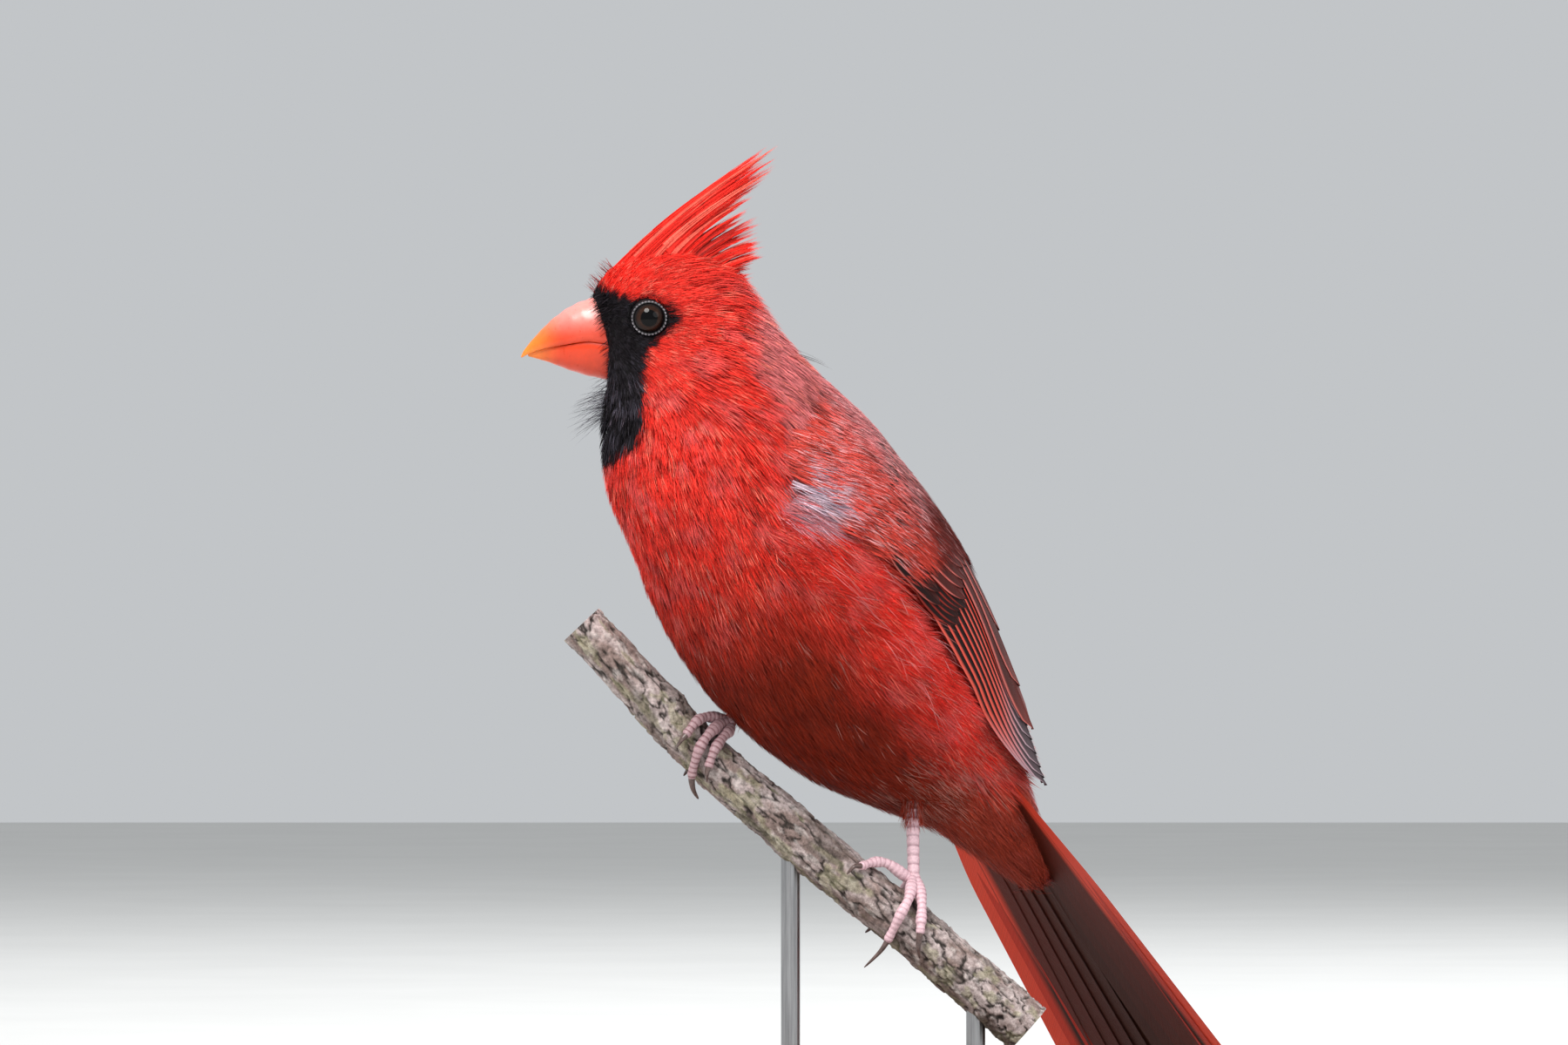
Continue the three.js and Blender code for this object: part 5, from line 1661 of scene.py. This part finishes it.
def chin_hairs():
    count = CHIN_HAIRS
    u = rng.uniform(14.0, 20.0, count)
    w = rng.uniform(170.5, 182.0, count)
    side = rng.choice([1, -1], count)
    roots, _ = nearest_on_skin(place(u, side * rng.uniform(0, 5, count), w, 0.0))
    ways = heading(rng.uniform(0.5, 1.0, count), side * 0.1, rng.uniform(-0.5, 0.1, count), 0.0)
    # The chin's grey hairs are partly painted blue-grey sheen
    paint = colour(124, 124, 134) * rng.uniform(0.02, 1.0, count)[:, None]
    lengths = 2.5 + 7.5 * rng.uniform(0, 1, count) ** 2
    filaments("bristles_chin", roots, unit(ways), lengths, paint, 0.1, 0.2)


def brow_hairs():
    count = BROW_HAIRS
    w = rng.uniform(199.0, 204.5, count)
    u = blend(19.5, 15.5, ramp(w, 199, 204.5))
    side = rng.choice([1, -1], count)
    roots, normals = nearest_on_skin(place(u, side * rng.uniform(0, 3, count), w, 0.0))
    ways = heading(rng.uniform(0.3, 0.9, count), side * 0.1, rng.uniform(0.3, 1.0, count), 0.0)
    paint = tint(MASK, RED * 0.6, rng.uniform(0, 1, count))
    lengths = rng.uniform(1.6, 4.2, count)
    filaments("bristles_brow", roots, unit(ways + 0.2 * normals), lengths, paint, 0.1, 0.05)


def nape_filaments():
    count = NAPE_HAIRS
    u, v, w = rng.uniform(-27, -22, count), rng.uniform(2, 8, count), rng.uniform(183, 188, count)
    roots, normals = nearest_on_skin(place(u, v, w, 0.3))
    ways = unit(heading(-0.85, 0.05, -0.42, 0.2) + rng.normal(0, 0.08, (count, 3)) + normals * 0.3)
    paint = np.tile(colour(60, 50, 52), (count, 1))
    filaments("filaments_nape", roots, ways, rng.uniform(6, 10, count), paint, 0.08, 0.1)


# Stand

def walnut():
    n = Nodes("stand_walnut")
    grain = n.noise(30.0, 8.0, 0.62, stretch=(1.0, 9.0, 9.0))
    fine = n.noise(240.0, 6.0, 0.6, stretch=(1.0, 9.0, 9.0))
    base = n.ramp(grain, (0.3, colour(58, 38, 26)), (0.5, colour(92, 62, 42)), (0.72, colour(124, 88, 60)))
    streak = n.ramp(fine, (0.35, (0.72, 0.7, 0.68)), (0.6, grey(1.05)))
    n.relief(fine, (0.0002, 0.35), (0.32, 0.5), grain)
    return n.finish(n.times(base, streak), Coat_Weight=0.15, Coat_Roughness=0.3)


def steel():
    n = Nodes("stand_steel")
    lines = n.noise(60.0, 5.0, 0.6, stretch=(30.0, 30.0, 1.0))
    n.relief(lines, (0.00005, 0.3), (0.22, 0.42))
    return n.finish(n.ramp(lines, (0.3, colour(136, 136, 138)), (0.7, colour(176, 176, 178))), Metallic=1.0)


def stand():
    wood, metal = walnut(), steel()
    for name, material in (("stand_base", wood), ("stand_rod_upper", metal), ("stand_rod_lower", metal)):
        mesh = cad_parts[name].data
        mesh.materials.clear()
        mesh.materials.append(material)


# Floor, light and camera, in metres

FLOOR_HALF_X, FLOOR_HALF_Y = 3.0, 3.4
LIGHT_AIM = Vector((-0.01, 0.0, 0.13))
CAMERA_SPOT = (-0.016, -3.0, 0.147)
# Name, spot, size, power and colour of each light
LIGHTS = [
    ("key", (-0.45, -0.85, 1.45), 0.8, 34.0, (1.0, 0.985, 0.96)),
    ("fill", (1.2, -1.1, 0.9), 1.2, 6.0, (0.96, 0.98, 1.0)),
    ("back", (0.5, 1.2, 1.3), 0.9, 18.0, (0.97, 0.98, 1.0)),
]


def floor():
    n = Nodes("floor_paper")
    soft = n.noise(14.0, 4.0)
    n.relief(soft, (0.0002, 0.1), None)
    base = n.ramp(soft, (0.3, colour(208, 208, 206)), (0.7, colour(212, 212, 210)))
    corners = [(x * FLOOR_HALF_X, y * FLOOR_HALF_Y, 0.0) for x, y in ((-1, -1), (1, -1), (1, 1), (-1, 1))]
    mesh = bpy.data.meshes.new("floor")
    mesh.from_pydata(corners, [], [(0, 1, 2, 3)])
    mesh.materials.append(n.finish(base, Roughness=0.85))
    scene_object("floor", mesh)


def lights():
    for name, spot, size, power, tone in LIGHTS:
        data = bpy.data.lights.new(name, "AREA")
        data.shape = "DISK"
        data.size = size
        data.energy = power
        data.color = tone
        lamp = scene_object(name, data)
        lamp.location = spot
        lamp.rotation_euler = (LIGHT_AIM - Vector(spot)).to_track_quat("-Z", "Y").to_euler()
    world = bpy.data.worlds.new("studio")
    bpy.context.scene.world = world
    world.use_nodes = True
    background = world.node_tree.nodes["Background"]
    background.inputs["Color"].default_value = (0.9, 0.93, 0.96, 1.0)
    background.inputs["Strength"].default_value = 0.6


def camera():
    data = bpy.data.cameras.new("camera")
    data.lens = 300.0
    data.sensor_width = 36.0
    data.clip_end = 20.0
    view = scene_object("camera", data)
    view.location = CAMERA_SPOT
    view.rotation_euler = (math.radians(90), 0, 0)
    bpy.context.scene.camera = view
    bpy.context.scene.view_settings.view_transform = "Standard"


# Assembly

camera()
floor()
lights()
add_skin()
body_coat()
for wing_side in SIDE_NAMES:
    folded_wing(wing_side)
    shoulder_coat(wing_side)
    flank_coat(wing_side)
    rump_coat(wing_side)
    loose_barbs(wing_side)
tail()
crest()
bill()
eyes()
feet()
bill_bristles()
chin_hairs()
brow_hairs()
nape_filaments()
perch()
stand()
